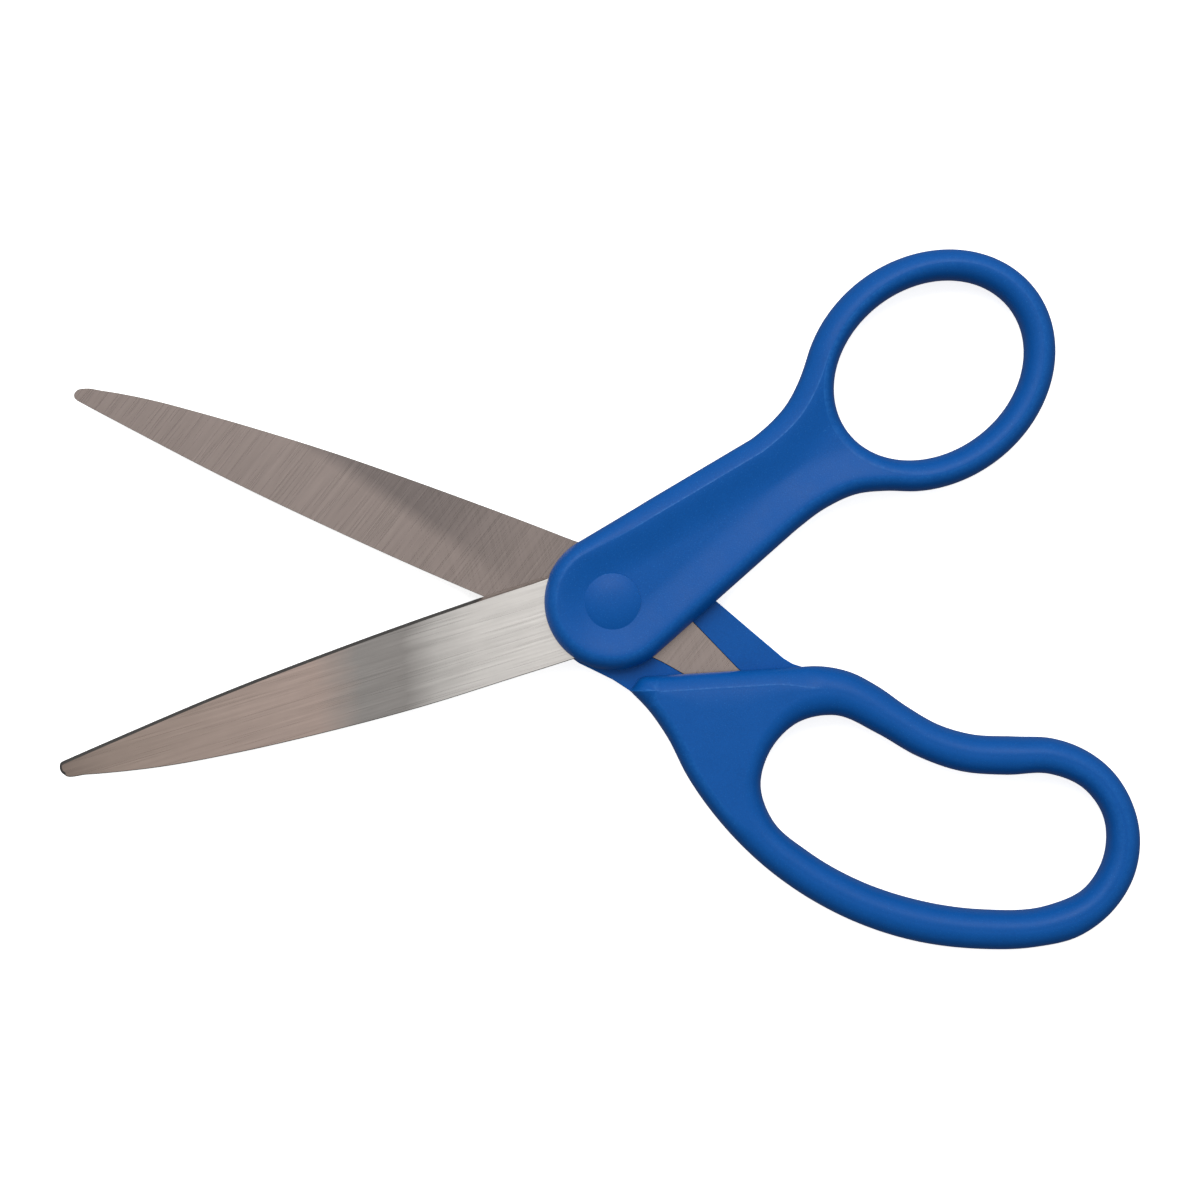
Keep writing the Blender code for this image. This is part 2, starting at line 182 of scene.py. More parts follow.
def evenly(path, count):
    """The open path again, in this many equal steps along it."""
    lengths = [0.0]
    for a, b in zip(path, path[1:]):
        lengths.append(lengths[-1] + (b - a).length)
    spaced = []
    i = 0
    for step in range(count + 1):
        wanted = lengths[-1] * step / count
        while i < len(path) - 2 and lengths[i + 1] < wanted:
            i += 1
        spaced.append(path[i].lerp(path[i + 1], (wanted - lengths[i]) / (lengths[i + 1] - lengths[i])))
    return spaced


def arc(radius, start, end, steps, centre=Vector((0, 0))):
    """Points on an arc from one angle to another, in degrees."""
    angles = [math.radians(start + (end - start) * i / steps) for i in range(steps + 1)]
    return [centre + Vector((math.cos(a), math.sin(a))) * radius for a in angles]


def ring_point(half_axes, degrees):
    """A point of the thumb ring's outer or inner ellipse."""
    angle = math.radians(degrees)
    point = Vector((half_axes[0] * math.cos(angle), half_axes[1] * math.sin(angle)))
    return RING_CENTRE + Matrix.Rotation(RING_TILT, 2) @ point


def circle(radius, centre=Vector((0, 0)), steps=96):
    """A closed ring of points at this radius."""
    return arc(radius, 0, 360, steps, centre)[:-1]


def eased(share):
    """0 to 1, slow at both ends."""
    share = min(1.0, max(0.0, share))
    return share * share * (3 - 2 * share)


def inward(ring, widths):
    """A closed ring moved to its left, by one width or by one for each point."""
    if not isinstance(widths, list):
        widths = [widths] * len(ring)
    moved = []
    for i, point in enumerate(ring):
        before = (point - ring[i - 1]).normalized()
        after = (ring[(i + 1) % len(ring)] - point).normalized()
        along = (before + after).normalized()
        moved.append(point + Vector((-along.y, along.x)) * widths[i] / max(0.5, along.dot(before)))
    return moved


def nearest_tree(points):
    """A search tree for the point of a chain that is nearest to a place."""
    tree = KDTree(len(points))
    for i, point in enumerate(points):
        tree.insert(point.to_3d(), i)
    tree.balance()
    return tree


def without_folds(crest, outline, widths):
    """The crest with the stretches that folded over at tight corners drawn straight."""
    tree = nearest_tree(outline)
    good = [tree.find(p.to_3d())[2] > 0.96 * w for p, w in zip(crest, widths)]
    count = len(crest)
    mended = list(crest)
    for i in range(count):
        if good[i]:
            continue
        back = next(k for k in range(1, count) if good[(i - k) % count])
        ahead = next(k for k in range(1, count) if good[(i + k) % count])
        mended[i] = crest[(i - back) % count].lerp(crest[(i + ahead) % count], back / (back + ahead))
    return mended


def distance_to(chain, tree, point):
    """Distance from a point to an open chain of points."""
    _, i, found = tree.find(point.to_3d())
    for a, b in ((i - 1, i), (i, i + 1)):
        if a >= 0 and b < len(chain):
            foot, share = intersect_point_line(point, chain[a], chain[b])
            if 0 <= share <= 1:
                found = min(found, (point - foot.to_2d()).length)
    return found


# ---------------------------------------------------------------- mesh building


def new_ring(mesh, points, height):
    """Vertices at the points, joined in a closed ring. A point may bring its own height."""
    ring = [mesh.verts.new(p if len(p) == 3 else (p.x, p.y, height)) for p in points]
    for a, b in zip(ring, [*ring[1:], ring[0]]):
        mesh.edges.new((a, b))
    return ring


def extruded(mesh, line, points, closed=True):
    """Extrudes a line of vertices and moves the new line to the points, which are 3-D."""
    ends = [*line[1:], line[0]] if closed else line[1:]
    edges = [mesh.edges.get((a, b)) for a, b in zip(line, ends)]
    made = bmesh.ops.extrude_edge_only(mesh, edges=edges)["geom"]
    grown = {item for item in made if isinstance(item, bmesh.types.BMVert)}
    following = []
    for vertex, point in zip(line, points):
        upper = next(e.other_vert(vertex) for e in vertex.link_edges if e.other_vert(vertex) in grown)
        upper.co = point
        following.append(upper)
    return following


def at(points, height):
    """The plan's points at this height."""
    return [Vector((p.x, p.y, height)) for p in points]


def fill(mesh, *rings):
    """Flat faces between rings, or inside one."""
    edges = [mesh.edges.get((a, b)) for ring in rings for a, b in zip(ring, [*ring[1:], ring[0]])]
    bmesh.ops.triangle_fill(mesh, use_beauty=True, edges=edges)


def shaded(data):
    """Shades a mesh smooth, but for its sharp edges."""
    data.shade_smooth()
    data.set_sharp_from_angle(angle=SHARP)


def finished(name, mesh, turn=0.0):
    """An object from the bmesh, turned about the rivet, with its place in its mesh."""
    bmesh.ops.remove_doubles(mesh, verts=mesh.verts, dist=WELD)
    loose = [v for v in mesh.verts if not v.link_faces]
    bmesh.ops.delete(mesh, geom=loose, context="VERTS")
    bmesh.ops.rotate(mesh, verts=mesh.verts, cent=(0, 0, 0), matrix=Matrix.Rotation(turn, 3, "Z"))
    bmesh.ops.recalc_face_normals(mesh, faces=mesh.faces)
    data = bpy.data.meshes.new(name)
    mesh.to_mesh(data)
    mesh.free()
    shaded(data)
    item = bpy.data.objects.new(name, data)
    bpy.context.scene.collection.objects.link(item)
    return item


def solid_between(name, outline, holes, low, high, turn):
    """A flat solid with upright sides."""
    mesh = bmesh.new()
    shapes = [outline, *holes]
    rings = [new_ring(mesh, shape, low) for shape in shapes]
    fill(mesh, *rings)
    fill(mesh, *(extruded(mesh, ring, at(shape, high)) for ring, shape in zip(rings, shapes)))
    return finished(name, mesh, turn)


def lathe(name, profile, steps=96):
    """A round solid on the rivet's axis, spun from (radius, height) pairs."""
    mesh = bmesh.new()
    line = [mesh.verts.new((radius, 0, height)) for radius, height in profile]
    for a, b in zip(line, line[1:]):
        mesh.edges.new((a, b))
    bmesh.ops.spin(
        mesh,
        geom=[*mesh.verts, *mesh.edges],
        cent=(0, 0, 0),
        axis=(0, 0, 1),
        angle=math.tau,
        steps=steps,
        use_merge=True,
    )
    return finished(name, mesh)


def cut_by(item, *tools):
    """Cuts the tools out of the piece, exactly, and removes them."""
    for tool in tools:
        boolean = item.modifiers.new(tool.name, "BOOLEAN")
        boolean.operation = "DIFFERENCE"
        boolean.object = tool
        boolean.solver = "EXACT"
    bpy.context.view_layer.update()
    evaluated = item.evaluated_get(bpy.context.evaluated_depsgraph_get())
    data = bpy.data.meshes.new_from_object(evaluated)
    data.name = item.name
    item.modifiers.clear()
    item.data = data
    for tool in tools:
        bpy.data.objects.remove(tool, do_unlink=True)
    shaded(data)


def placed(item, body, node, material):
    """Marks a piece's edges, and gives it its finish and its place in the frame."""
    mark_edges(item)
    item.data.materials.clear()
    item.data.materials.append(material)
    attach(item, body)
    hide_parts(node)


# ---------------------------------------------------------------- handle sections


def parting_moves(loop_end, count, rim):
    """How far in each point of the parting line moves.

    A fine flash stands out round the loop, and a plate's rim is broken. Both fade out where the
    ledge starts.
    """
    moves = []
    for i in range(count):
        if i <= loop_end:
            moves.append(-PARTING_FLASH * eased(min(i, loop_end - i) / 4))
        else:
            moves.append(rim * eased(min(i - loop_end, count - i) / 4))
    return moves


def parting_line(mesh, outline, middle, top, moves):
    """The parting line's ring and the one next to it, and the second one's height."""
    level = middle + math.copysign(EDGE_BREAK, top - middle)
    ring = new_ring(mesh, inward(outline, moves), middle)
    return extruded(mesh, ring, at(outline, level)), level


def section(mesh, ring, outline, crest, level, rounding, band):
    """Extrudes a handle's edge from beside its parting line to its crest, and returns the crest.

    The section is a quarter of a superellipse: a fullness of 2 is an ellipse, and more is squarer.
    The slope tilts it away from the crest, which then stands out as a line. rounding turns into
    BAND where a point's share in band is 1.
    """
    shapes = [[a + (b - a) * share for a, b in zip(rounding, BAND)] for share in band]
    turns = [math.radians(9 * k) for k in range(1, 9)]
    close_in = (0.62, 0.38, 0.22, 0.10, 0.04, 0.0)
    for step in range(len(turns) + len(close_in)):
        points = []
        for foot, top, (full, tilt) in zip(outline, crest, shapes):
            share = math.cos(turns[min(step, len(turns) - 1)]) ** (2 / full)
            if step >= len(turns):
                share *= close_in[step - len(turns)]
            height = top.z - level
            out = share * (top.to_2d() - foot).length
            soft = math.hypot(out, CREST_SOFTNESS) - CREST_SOFTNESS
            lift = height * (1 - share**full) ** (1 / full) * (1 - tilt * soft / abs(height))
            place = top.to_2d().lerp(foot, share)
            points.append(Vector((place.x, place.y, level + lift)))
        ring = extruded(mesh, ring, points)
    return ring


def ledge_shares(count, loop_end):
    """How far each point of an outline is on its ledge, from 0 to 1."""
    return [
        eased((i - loop_end + LEDGE_FADE) / LEDGE_FADE) * eased((count - i) / 6)
        for i in range(count)
    ]


def web_reach(crest, ledge, corner, hole_tree):
    """How far the web rises from the ledge's crest: none elsewhere, less near corner and hole."""
    reach = []
    for place, share in zip(crest, ledge):
        room = 0.55 * (hole_tree.find(place.to_3d())[2] - 4.0 * MM)
        limit = min(LEDGE_REACH, 0.5 * (place - corner).length, max(0.0, room))
        reach.append(limit * share * share)
    return reach


def risen_web(mesh, ring, outline, crest, reach, top, upward):
    """Carries the web from the ledge's lowered crest up to the flat, and returns the flat's edge."""
    for share in (0.10, 0.25, 0.45, 0.70, 1.0):
        points = []
        for foot, start, far in zip(outline, crest, reach):
            place = start + (start - foot).normalized() * far * share
            drop = LEDGE_DROP * far / LEDGE_REACH * (1 - share) ** 2
            points.append(Vector((place.x, place.y, top - upward * drop)))
        ring = extruded(mesh, ring, points)
    return ring


def flat_side(mesh, outline, hole, moves, middle, top, cap, loop_end, corner=None):
    """A handle's side with rounded edges and a flat web between them.

    The rounding takes no more than cap, and in a bow a little less than half of its width. With a
    corner, the outline runs along the ledge after its loop's end, and the ledge's free end slopes
    to that one point.
    """
    outer_tree, hole_tree = nearest_tree(outline), nearest_tree(hole)
    ledge = ledge_shares(len(outline), loop_end) if corner else [0.0] * len(outline)
    wide = [
        min(cap(p) * (1 + LEDGE_WIDER * share), FLAT_CORE * hole_tree.find(p.to_3d())[2])
        for p, share in zip(outline, ledge)
    ]
    hole_wide = [min(cap(p), FLAT_CORE * outer_tree.find(p.to_3d())[2]) for p in hole]
    crest = without_folds(inward(outline, wide), outline, wide)
    if corner:
        crest = [corner if p.x < corner.x - 0.6 * MM else c for p, c in zip(outline, crest)]
    upward = math.copysign(1, top - middle)
    reach = web_reach(crest, ledge, corner, hole_tree) if corner else [0.0] * len(outline)
    tops = [
        Vector((c.x, c.y, top - upward * LEDGE_DROP * far / LEDGE_REACH))
        for c, far in zip(crest, reach)
    ]
    edge, level = parting_line(mesh, outline, middle, top, moves)
    outer_top = section(mesh, edge, outline, tops, level, WEB_ROUNDING, ledge)
    if corner:
        outer_top = risen_web(mesh, outer_top, outline, crest, reach, top, upward)
    edge, level = parting_line(mesh, hole, middle, top, PARTING_FLASH)
    inner = at(inward(hole, [-w for w in hole_wide]), top)
    hole_top = section(mesh, edge, hole, inner, level, WEB_ROUNDING, [0.0] * len(hole))
    bmesh.ops.remove_doubles(mesh, verts=outer_top, dist=WELD)
    fill(mesh, [v for v in outer_top if v.is_valid], hole_top)


def inner_face(mesh, plate, moves, ledge, loop_end, middle):
    """The flat inner face of a handle's plate, from its rim to the ledge."""
    rim = inward(plate, moves)
    fill(mesh, new_ring(mesh, [*rim[loop_end:], rim[0], *reversed(ledge[1:-1])], middle))


# ---------------------------------------------------------------- thumb handle


def ring_angles():
    """Angles round the ring, in equal steps."""
    return [RING_START + (RING_END - RING_START) * i / RING_STEPS for i in range(RING_STEPS + 1)]


def web_shares():
    """Shares from 0 to 1 across the web, closer together towards both ends."""
    return [0.5 - 0.5 * math.cos(math.pi * i / WEB_STEPS) for i in range(WEB_STEPS + 1)]


def web_angles():
    """Angles across the web, from the ring's one end to its other."""
    return [WEB_START + (RING_START - WEB_START) * share for share in web_shares()]


def thumb_sides():
    """The thumb handle's edge in four sides, counter-clockwise, and the line of its ledge.

    lower and upper run between the ring and the plate, near is the round end over the rivet, and
    foot leads back to lower.
    """
    ring = [ring_point(RING_OUTER, degrees) for degrees in ring_angles()]
    neck_low = mm((34.0, 2.55), (40.5, 4.95), (46.6, 5.7), (51.2, 4.83))
    neck_high = mm((41.8, 26.9), (38.8, 24.0), (35.3, 21.85), (31.5, 20.2))
    ledge_high, ledge_low, plate_low = mm((8.3, 14.45), (34.0, 2.55), (15.5, -6.03))
    join = [ring_point(RING_OUTER, RING_START - 4), ring[0]]
    lower = evenly(smooth_path([*neck_low, *join], 8), 43)
    upper = evenly([*smooth_path([ring[-1], *neck_high], 8), ledge_high], 72)
    near = evenly([ledge_high, *arc(THUMB_END_R, 104.0, 294.3, 90), plate_low], 110)
    foot = evenly([plate_low, ledge_low], 29)
    ledge = evenly([ledge_high, *mm((9.3, 10.9), (10.0, 10.7)), ledge_low], 60)
    return lower, ring, upper, near, foot, ledge


def crest_share(degrees):
    """Where the ring's crest lies, from its outer edge (0) to its hole (1)."""
    return 0.45 + 0.17 * eased((degrees - 380) / 100)


def hole_crest(degrees):
    """A point of the crest round the thumb hole, on the ring or across the web."""
    share = crest_share(degrees)
    if degrees < RING_START:
        across = ((degrees - WEB_START) / (RING_START - WEB_START)) ** 3
        share = crest_share(RING_END) * (1 - across) + crest_share(RING_START) * across
    return ring_point(RING_OUTER, degrees).lerp(ring_point(RING_HOLE, degrees), share)


def plate_widths(sides, size):
    """Width of the rounding along the thumb handle's edge, which is greatest on the upper side."""
    lower, ring, upper, near, foot, _ = sides
    at_start = crest_share(RING_START) * (RING_OUTER[1] - RING_HOLE[1])
    at_end = crest_share(RING_END) * (RING_OUTER[0] - RING_HOLE[0])
    narrow, broad = size.edge_width, size.upper_edge
    on_lower = [eased(i / (len(lower) - 1) * 2.4 - 1.4) for i in range(len(lower))]
    on_upper = [eased(i / 30) for i in range(len(upper))]
    on_near = [eased(1 - i / 26) for i in range(len(near))]
    return [
        *(narrow + (at_start - narrow) * share for share in on_lower[:-1]),
        *(at_start for _ in ring[:-1]),
        *(at_end + (broad - at_end) * share for share in on_upper[:-1]),
        *(narrow + (broad - narrow) * share for share in on_near[:-1]),
        *(narrow for _ in foot[:-1]),
    ]


def thumb_crest(sides, outline, size):
    """The crest line round the thumb handle's front, which the ring shares with its hole."""
    lower, ring = sides[:2]
    crest = inward(outline, plate_widths(sides, size))
    first, last = len(lower) - 1, len(lower) + len(ring) - 2
    start_miss = hole_crest(RING_START) - crest[first]
    end_miss = hole_crest(RING_END) - crest[last]
    for k in range(1, 16):
        crest[first - k] += start_miss * (1 - eased(k / 16))
        crest[last + k] += end_miss * (1 - eased(k / 16))
    for k, degrees in enumerate(ring_angles()):
        crest[first + k] = hole_crest(degrees)
    return crest


def dish_surface(rim, size):
    """A function that gives the dish's height under any point inside its rim."""
    tree = nearest_tree(rim)

    def surface(point):
        """The dish's point above or below a point of the plan."""
        away = distance_to(rim, tree, point)
        depth = size.dish_depth * eased((away / size.dish_wall) ** 0.85)
        return Vector((point.x, point.y, HANDLE_TOP - depth))

    return surface


def dished_web(mesh, surface, web, high_side, low_side):
    """The dish from the thumb hole to the line across the plate beside the dome.

    Its rows are extruded from the web's crest at the hole, and kept clear of the low side's crest
    where the two meet in a point. Returns the last row's plan.
    """
    shares = web_shares()
    row = [mesh.verts.new(surface(p)) for p in web]
    for a, b in zip(row, row[1:]):
        mesh.edges.new((a, b))
    bulge = [p - high_side[0].lerp(low_side[0], share) for p, share in zip(web, shares)]
    across = web
    for k in range(1, len(high_side)):
        left = 1 - k / (len(high_side) - 1)
        clear = (high_side[k] - low_side[k]).normalized() * 11 * MM * left * min(1.0, k / 5)
        across = [
            high_side[k].lerp(low_side[k], share) + b * left + clear * share**2 * (1 - share)
            for share, b in zip(shares, bulge)
        ]
        row = extruded(mesh, row, [surface(p) for p in across], closed=False)
    return across


def domed_end(mesh, surface, around, size):
    """The dish's round end, and the dome over the rivet in its middle."""
    foot = size.dome_radius
    edge = new_ring(mesh, [surface(p) for p in around], 0)
    for share in (0.02, 0.05, 0.1, 0.18, 0.28, 0.4, 0.52, 0.64, 0.76, 0.87, 0.95, 0.985, 1.0):
        edge = extruded(mesh, edge, [surface(p.lerp(p.normalized() * foot, share)) for p in around])
    base = HANDLE_TOP - DOME_FOOT * size.dish_depth
    for share in (0.995, 0.985, 0.96, 0.92, 0.86, 0.78, 0.68, 0.56, 0.42, 0.28, 0.14):
        rise = size.dome_height * (1 - share**2.3) + 0.02 * MM
        edge = extruded(mesh, edge, at([p.normalized() * foot * share for p in around], base + rise))
    fill(mesh, edge)


def thumb_front(mesh, sides, outline, moves, size):
    """The thumb handle's front: its rounded edge, the ring, the dish and the dome."""
    lower, ring, upper, near, foot, _ = sides
    crest = thumb_crest(sides, outline, size)
    ring_last = len(lower) + len(ring) - 2
    near_first = ring_last + len(upper) - 1
    near_last = near_first + len(near) - 1
    straight = [
        eased((i - ring_last + 16) / 30) * eased((near_first + 20 - i) / 34)
        for i in range(len(outline))
    ]
    edge, level = parting_line(mesh, outline, THUMB_FACE, HANDLE_TOP, moves)
    section(mesh, edge, outline, at(crest, HANDLE_TOP), level, FRONT_ROUNDING, straight)

    high_side = crest[ring_last : near_first + 1]
    near_side = crest[near_first : near_last + 1]
    low_side = [*reversed(crest[: len(lower)]), *reversed(crest[near_last:])]
    surface = dish_surface([*high_side, *near_side[1:-1], *reversed(low_side)], size)
    web = [hole_crest(degrees) for degrees in web_angles()]
    hole_edge(mesh, web, surface)
    last_row = dished_web(mesh, surface, web, high_side, low_side)
    domed_end(mesh, surface, [*near_side, *reversed(last_row[1:-1])], size)


def thumb_hole():
    """The thumb hole's edge, with its points in line with the ring's and the web's."""
    return [ring_point(RING_HOLE, degrees) for degrees in (*ring_angles()[:-1], *web_angles()[:-1])]


def hole_edge(mesh, web, surface):
    """The rounded edge of the thumb hole, which meets the dish across the web."""
    hole = thumb_hole()
    on_ring = [hole_crest(degrees) for degrees in ring_angles()[:-1]]
    top = [*at(on_ring, HANDLE_TOP), *(surface(p) for p in web[:-1])]
    edge, level = parting_line(mesh, hole, THUMB_FACE, HANDLE_TOP, PARTING_FLASH)
    section(mesh, edge, hole, top, level, FRONT_ROUNDING, [0.0] * len(hole))


def moulded_thumb_handle(size):
    """The thumb handle: a full ring, and a plate on top that covers the rivet's head."""
    sides = thumb_sides()
    lower, ring, upper, near, foot, ledge = sides
    loop = [*lower[:-1], *ring[:-1], *upper[:-1]]
    plate = [*loop, *near[:-1], *foot[:-1]]
    raised = [*loop, *ledge[:-1]]
    loop_end = len(loop)
    hole = thumb_hole()
    mesh = bmesh.new()
    moves = parting_moves(loop_end, len(plate), EDGE_BREAK)
    thumb_front(mesh, sides, plate, moves, size)
    back_moves = parting_moves(loop_end, len(raised), 0.0)

    def cap(point):
        """The rounding's greatest width, which is the same everywhere."""
        return size.edge_width

    flat_side(mesh, raised, hole, back_moves, THUMB_FACE, 0, cap, loop_end, THUMB_CORNER)
    inner_face(mesh, plate, moves, ledge, loop_end, THUMB_FACE)
    item = finished("thumb_handle_moulded", mesh, THUMB_TURN)
    pocket = turned_pocket("front_tang_pocket", front_blade_outline(), THUMB_FACE, FRONT_BLADE_HIGH, 1)
    room = RIVET_HEAD_R + PLAY
    inside = [(0, THUMB_FACE + MM), (room, THUMB_FACE + MM), (room, RIVET_HIGH + PLAY)]
    cut_by(item, pocket, lathe("rivet_room", [*inside, (0, RIVET_HIGH + PLAY)]))
    return item


def turned_pocket(name, outline, low, high, side):
    """A tang's pocket, open through the inner face, turned as its half is."""
    post = circle(ANCHOR_R - PLAY, Vector((ANCHOR.x, side * ANCHOR.y)), 48)
    near = [p for p in inward(outline, -PLAY) if p.x > TANG_START]
    if side > 0:
        return solid_between(name, near, [post], low - MM, high + PLAY, THUMB_TURN)
    return solid_between(name, near, [post], low - PLAY, high + MM, FINGER_TURN)


# ---------------------------------------------------------------- finger handle


def finger_sides():
    """The finger handle's edge as its loop, its plate's rim and its ledge, counter-clockwise."""
    bow_low = mm((8.5, -13.5), (12.3, -15.2), (17.3, -18.5), (23.4, -23.9), (31.9, -29.4))
    bow_middle = mm((41.4, -33.6), (51.2, -36.1), (61.2, -37.0), (71.5, -36.2), (81.3, -33.7))
    bow_end = mm((90.6, -29.8), (97.2, -25.2), (101.2, -18.6), (102.35, -11.8), (100.6, -4.6))
    bow_top = mm((97.0, 0.4), (92.0, 4.0), (86.2, 5.6), (80.5, 5.4), (74.4, 3.4), (66.7, 0.9))
    bow_grip = mm((61.0, 0.45), (54.7, 1.4), (48.5, 2.9), (43.2, 3.45), (38.6, 2.7), (35.0, 1.3))
    loop = evenly(smooth_path([*bow_low, *bow_middle, *bow_end, *bow_top, *bow_grip], 8), 440)
    over = [*mm((33.4, 1.2), (31.6, 1.5)), *arc(FINGER_END_R, 71.0, 239.0, 90)]
    under = mm((-4.0, -11.5), (-1.6, -12.2), (1.0, -12.4), (5.0, -12.75))
    rim = evenly([loop[-1], *over, *under, loop[0]], 190)
    ledge = evenly([loop[-1], *mm((9.9, -10.2), (9.2, -10.9)), loop[0]], 64)
    return loop, rim, ledge


def finger_hole():
    """The finger hole's edge, counter-clockwise."""
    left = mm((43.5, -4.5), (38.0, -7.9), (35.2, -14.0), (35.8, -20.8), (40.0, -25.7))
    low = mm((47.7, -28.5), (57.7, -30.0), (67.8, -29.6), (79.6, -27.0), (90.2, -22.2))
    right = mm((95.2, -17.0), (96.3, -10.5), (93.8, -4.2), (88.5, -0.7), (82.2, -0.55))
    top = mm((75.3, -3.4), (67.6, -5.7), (59.5, -6.0), (51.5, -4.8))
    ring = smooth_ring([*left, *low, *right, *top], 8)
    return evenly([*ring, ring[0]], 250)[:-1]


def moulded_finger_handle(size):
    """The finger handle: a full loop, and a plate at the bottom that takes the washer."""
    loop, rim, ledge = finger_sides()
    hole = finger_hole()
    loop_end = len(loop) - 1
    plate = [*loop, *rim[1:-1]]
    raised = [*loop, *ledge[1:-1]]

    def cap(point):
        """The rounding's greatest width, which grows along the bow."""
        return size.edge_width * (1 + BOW_WIDER * eased((point.x - BOW_START) / BOW_FADE))

    mesh = bmesh.new()
    moves = parting_moves(loop_end, len(raised), 0.0)
    flat_side(mesh, raised, hole, moves, FINGER_FACE, HANDLE_TOP, cap, loop_end, FINGER_CORNER)
    moves = parting_moves(loop_end, len(plate), EDGE_BREAK)
    flat_side(mesh, plate, hole, moves, FINGER_FACE, 0, cap, loop_end)
    inner_face(mesh, plate, moves, ledge, loop_end, FINGER_FACE)
    item = finished("finger_handle_moulded", mesh, FINGER_TURN)
    back = mirrored(back_blade_outline())
    pocket = turned_pocket("back_tang_pocket", back, BACK_BLADE_LOW, FINGER_FACE, -1)
    room = WASHER_R + 3 * PLAY
    washer_room = [(0, -MM), (room, -MM), (room, BACK_BLADE_LOW + PLAY), (0, BACK_BLADE_LOW + PLAY)]
    cut_by(item, pocket, lathe("washer_room", washer_room))
    return item


# ---------------------------------------------------------------- blades


def blade_outline(tip_and_spine):
    """Counter-clockwise, with the cutting edge at +Y. Only the tip and the spine differ."""
    tang = mm((2, -7.2), (8.2, -5.2), (14.2, -1.84), (24.6, 3.0), (30.5, 5.5))
    tang_end = arc(2.6 * MM, -60, 90, 12, Vector((30.4, 7.7)) * MM)
    tang_top = mm((24.0, 9.0), (15.9, 7.3), (10.3, 6.6), (2, 7.3))
    cutting_edge = mm((-10, 7.5), (-29.4, 7.02), (-50.4, 5.88), (-71.4, 4.25), (-88.2, 2.40))
    return [
        *smooth_path([*tip_and_spine, *tang[:2]], 8),
        *tang[2:4],
        *tang_end,
        *smooth_path([*tang_top, *cutting_edge, Vector((-100.0, 1.0)) * MM], 8),
    ]


def front_blade_outline():
    """The front blade, with its bluntly cut tip."""
    blunt_tip = mm((-100.6, 0.85), (-100.95, 0.2), (-100.9, -0.9), (-100.5, -1.45))
    spine = mm((-96.6, -2.5), (-92.4, -3.4), (-84, -4.9), (-71.4, -6.32), (-54.6, -7.45))
    return blade_outline([*blunt_tip, *spine, *mm((-37.8, -8.0), (-20, -7.8), (-8, -7.6))])


def back_blade_outline():
    """The back blade with its round tip, drawn with the cutting edge at +Y like the front one."""
    round_tip = mm((-100.7, 0.73), (-101.0, 0.1), (-100.7, -0.8), (-99.6, -1.5))
    spine = mm((-96.6, -2.25), (-88.2, -3.8), (-79.8, -4.76), (-67.2, -5.88), (-54.6, -6.69))
    return blade_outline([*round_tip, *spine, *mm((-42, -7.13), (-29.4, -7.39), (-12, -7.5))])


def mirrored(ring):
    """The ring with Y reversed, still counter-clockwise."""
    return [Vector((p.x, -p.y)) for p in reversed(ring)]


def ground_blade(name, ring, side, inner, outer, turn, size):
    """A stamped blade: an upright land along its cutting edge, then a ground bevel.

    Every other edge is broken. side is 1 where the cutting edge is at +Y and -1 at -Y.
    """
    direction = math.copysign(1, outer - inner)
    thick = abs(outer - inner)

    def ground(point):
        """1 where the edge is ground to a bevel, 0 where it is only broken."""
        cutting = side * point.y > CUTTING_SIDE or point.x < TIP_END
        return eased((BEVEL_END - point.x) / BEVEL_FADE) if cutting else 0.0

    shares = [ground(p) for p in ring]
    widths = [size.edge_break + (size.bevel_width - size.edge_break) * s for s in shares]
    starts = [(thick - size.edge_break) * (1 - s) + size.land * s for s in shares]
    shoulder = [Vector((p.x, p.y, inner + direction * h)) for p, h in zip(ring, starts)]
    mesh = bmesh.new()
    anchor = circle(ANCHOR_R, Vector((ANCHOR.x, side * ANCHOR.y)), 48)
    edge = new_ring(mesh, inward(ring, BURR), inner)
    holes = [new_ring(mesh, hole, inner) for hole in (circle(PIVOT_HOLE_R), anchor)]
    fill(mesh, edge, *holes)
    edge = extruded(mesh, edge, at(ring, inner + direction * BURR))
    edge = extruded(mesh, edge, shoulder)
    edge = extruded(mesh, edge, at(inward(ring, widths), outer))
    tops = [extruded(mesh, h, at(p, outer)) for h, p in zip(holes, (circle(PIVOT_HOLE_R), anchor))]
    fill(mesh, edge, *tops)
    return finished(name, mesh, turn)


def ground_front_blade(size):
    """The front blade, with its bevel on top."""
    ring = front_blade_outline()
    levels = (THUMB_FACE, FRONT_BLADE_HIGH)
    return ground_blade("front_blade_ground", ring, 1, *levels, THUMB_TURN, size)


def ground_back_blade(size):
    """The back blade, with its bevel underneath."""
    ring = mirrored(back_blade_outline())
    levels = (FINGER_FACE, BACK_BLADE_LOW)
    return ground_blade("back_blade_ground", ring, -1, *levels, FINGER_TURN, size)


# ---------------------------------------------------------------- rivet and washer


def quarter(radius, height, reach_out, reach_up, start, steps=5):
    """Profile points on a rounded edge, about the centre (radius, height), from this angle on."""
    angles = [math.radians(start + 90 * i / steps) for i in range(steps + 1)]
    return [(radius + reach_out * math.cos(a), height + reach_up * math.sin(a)) for a in angles]


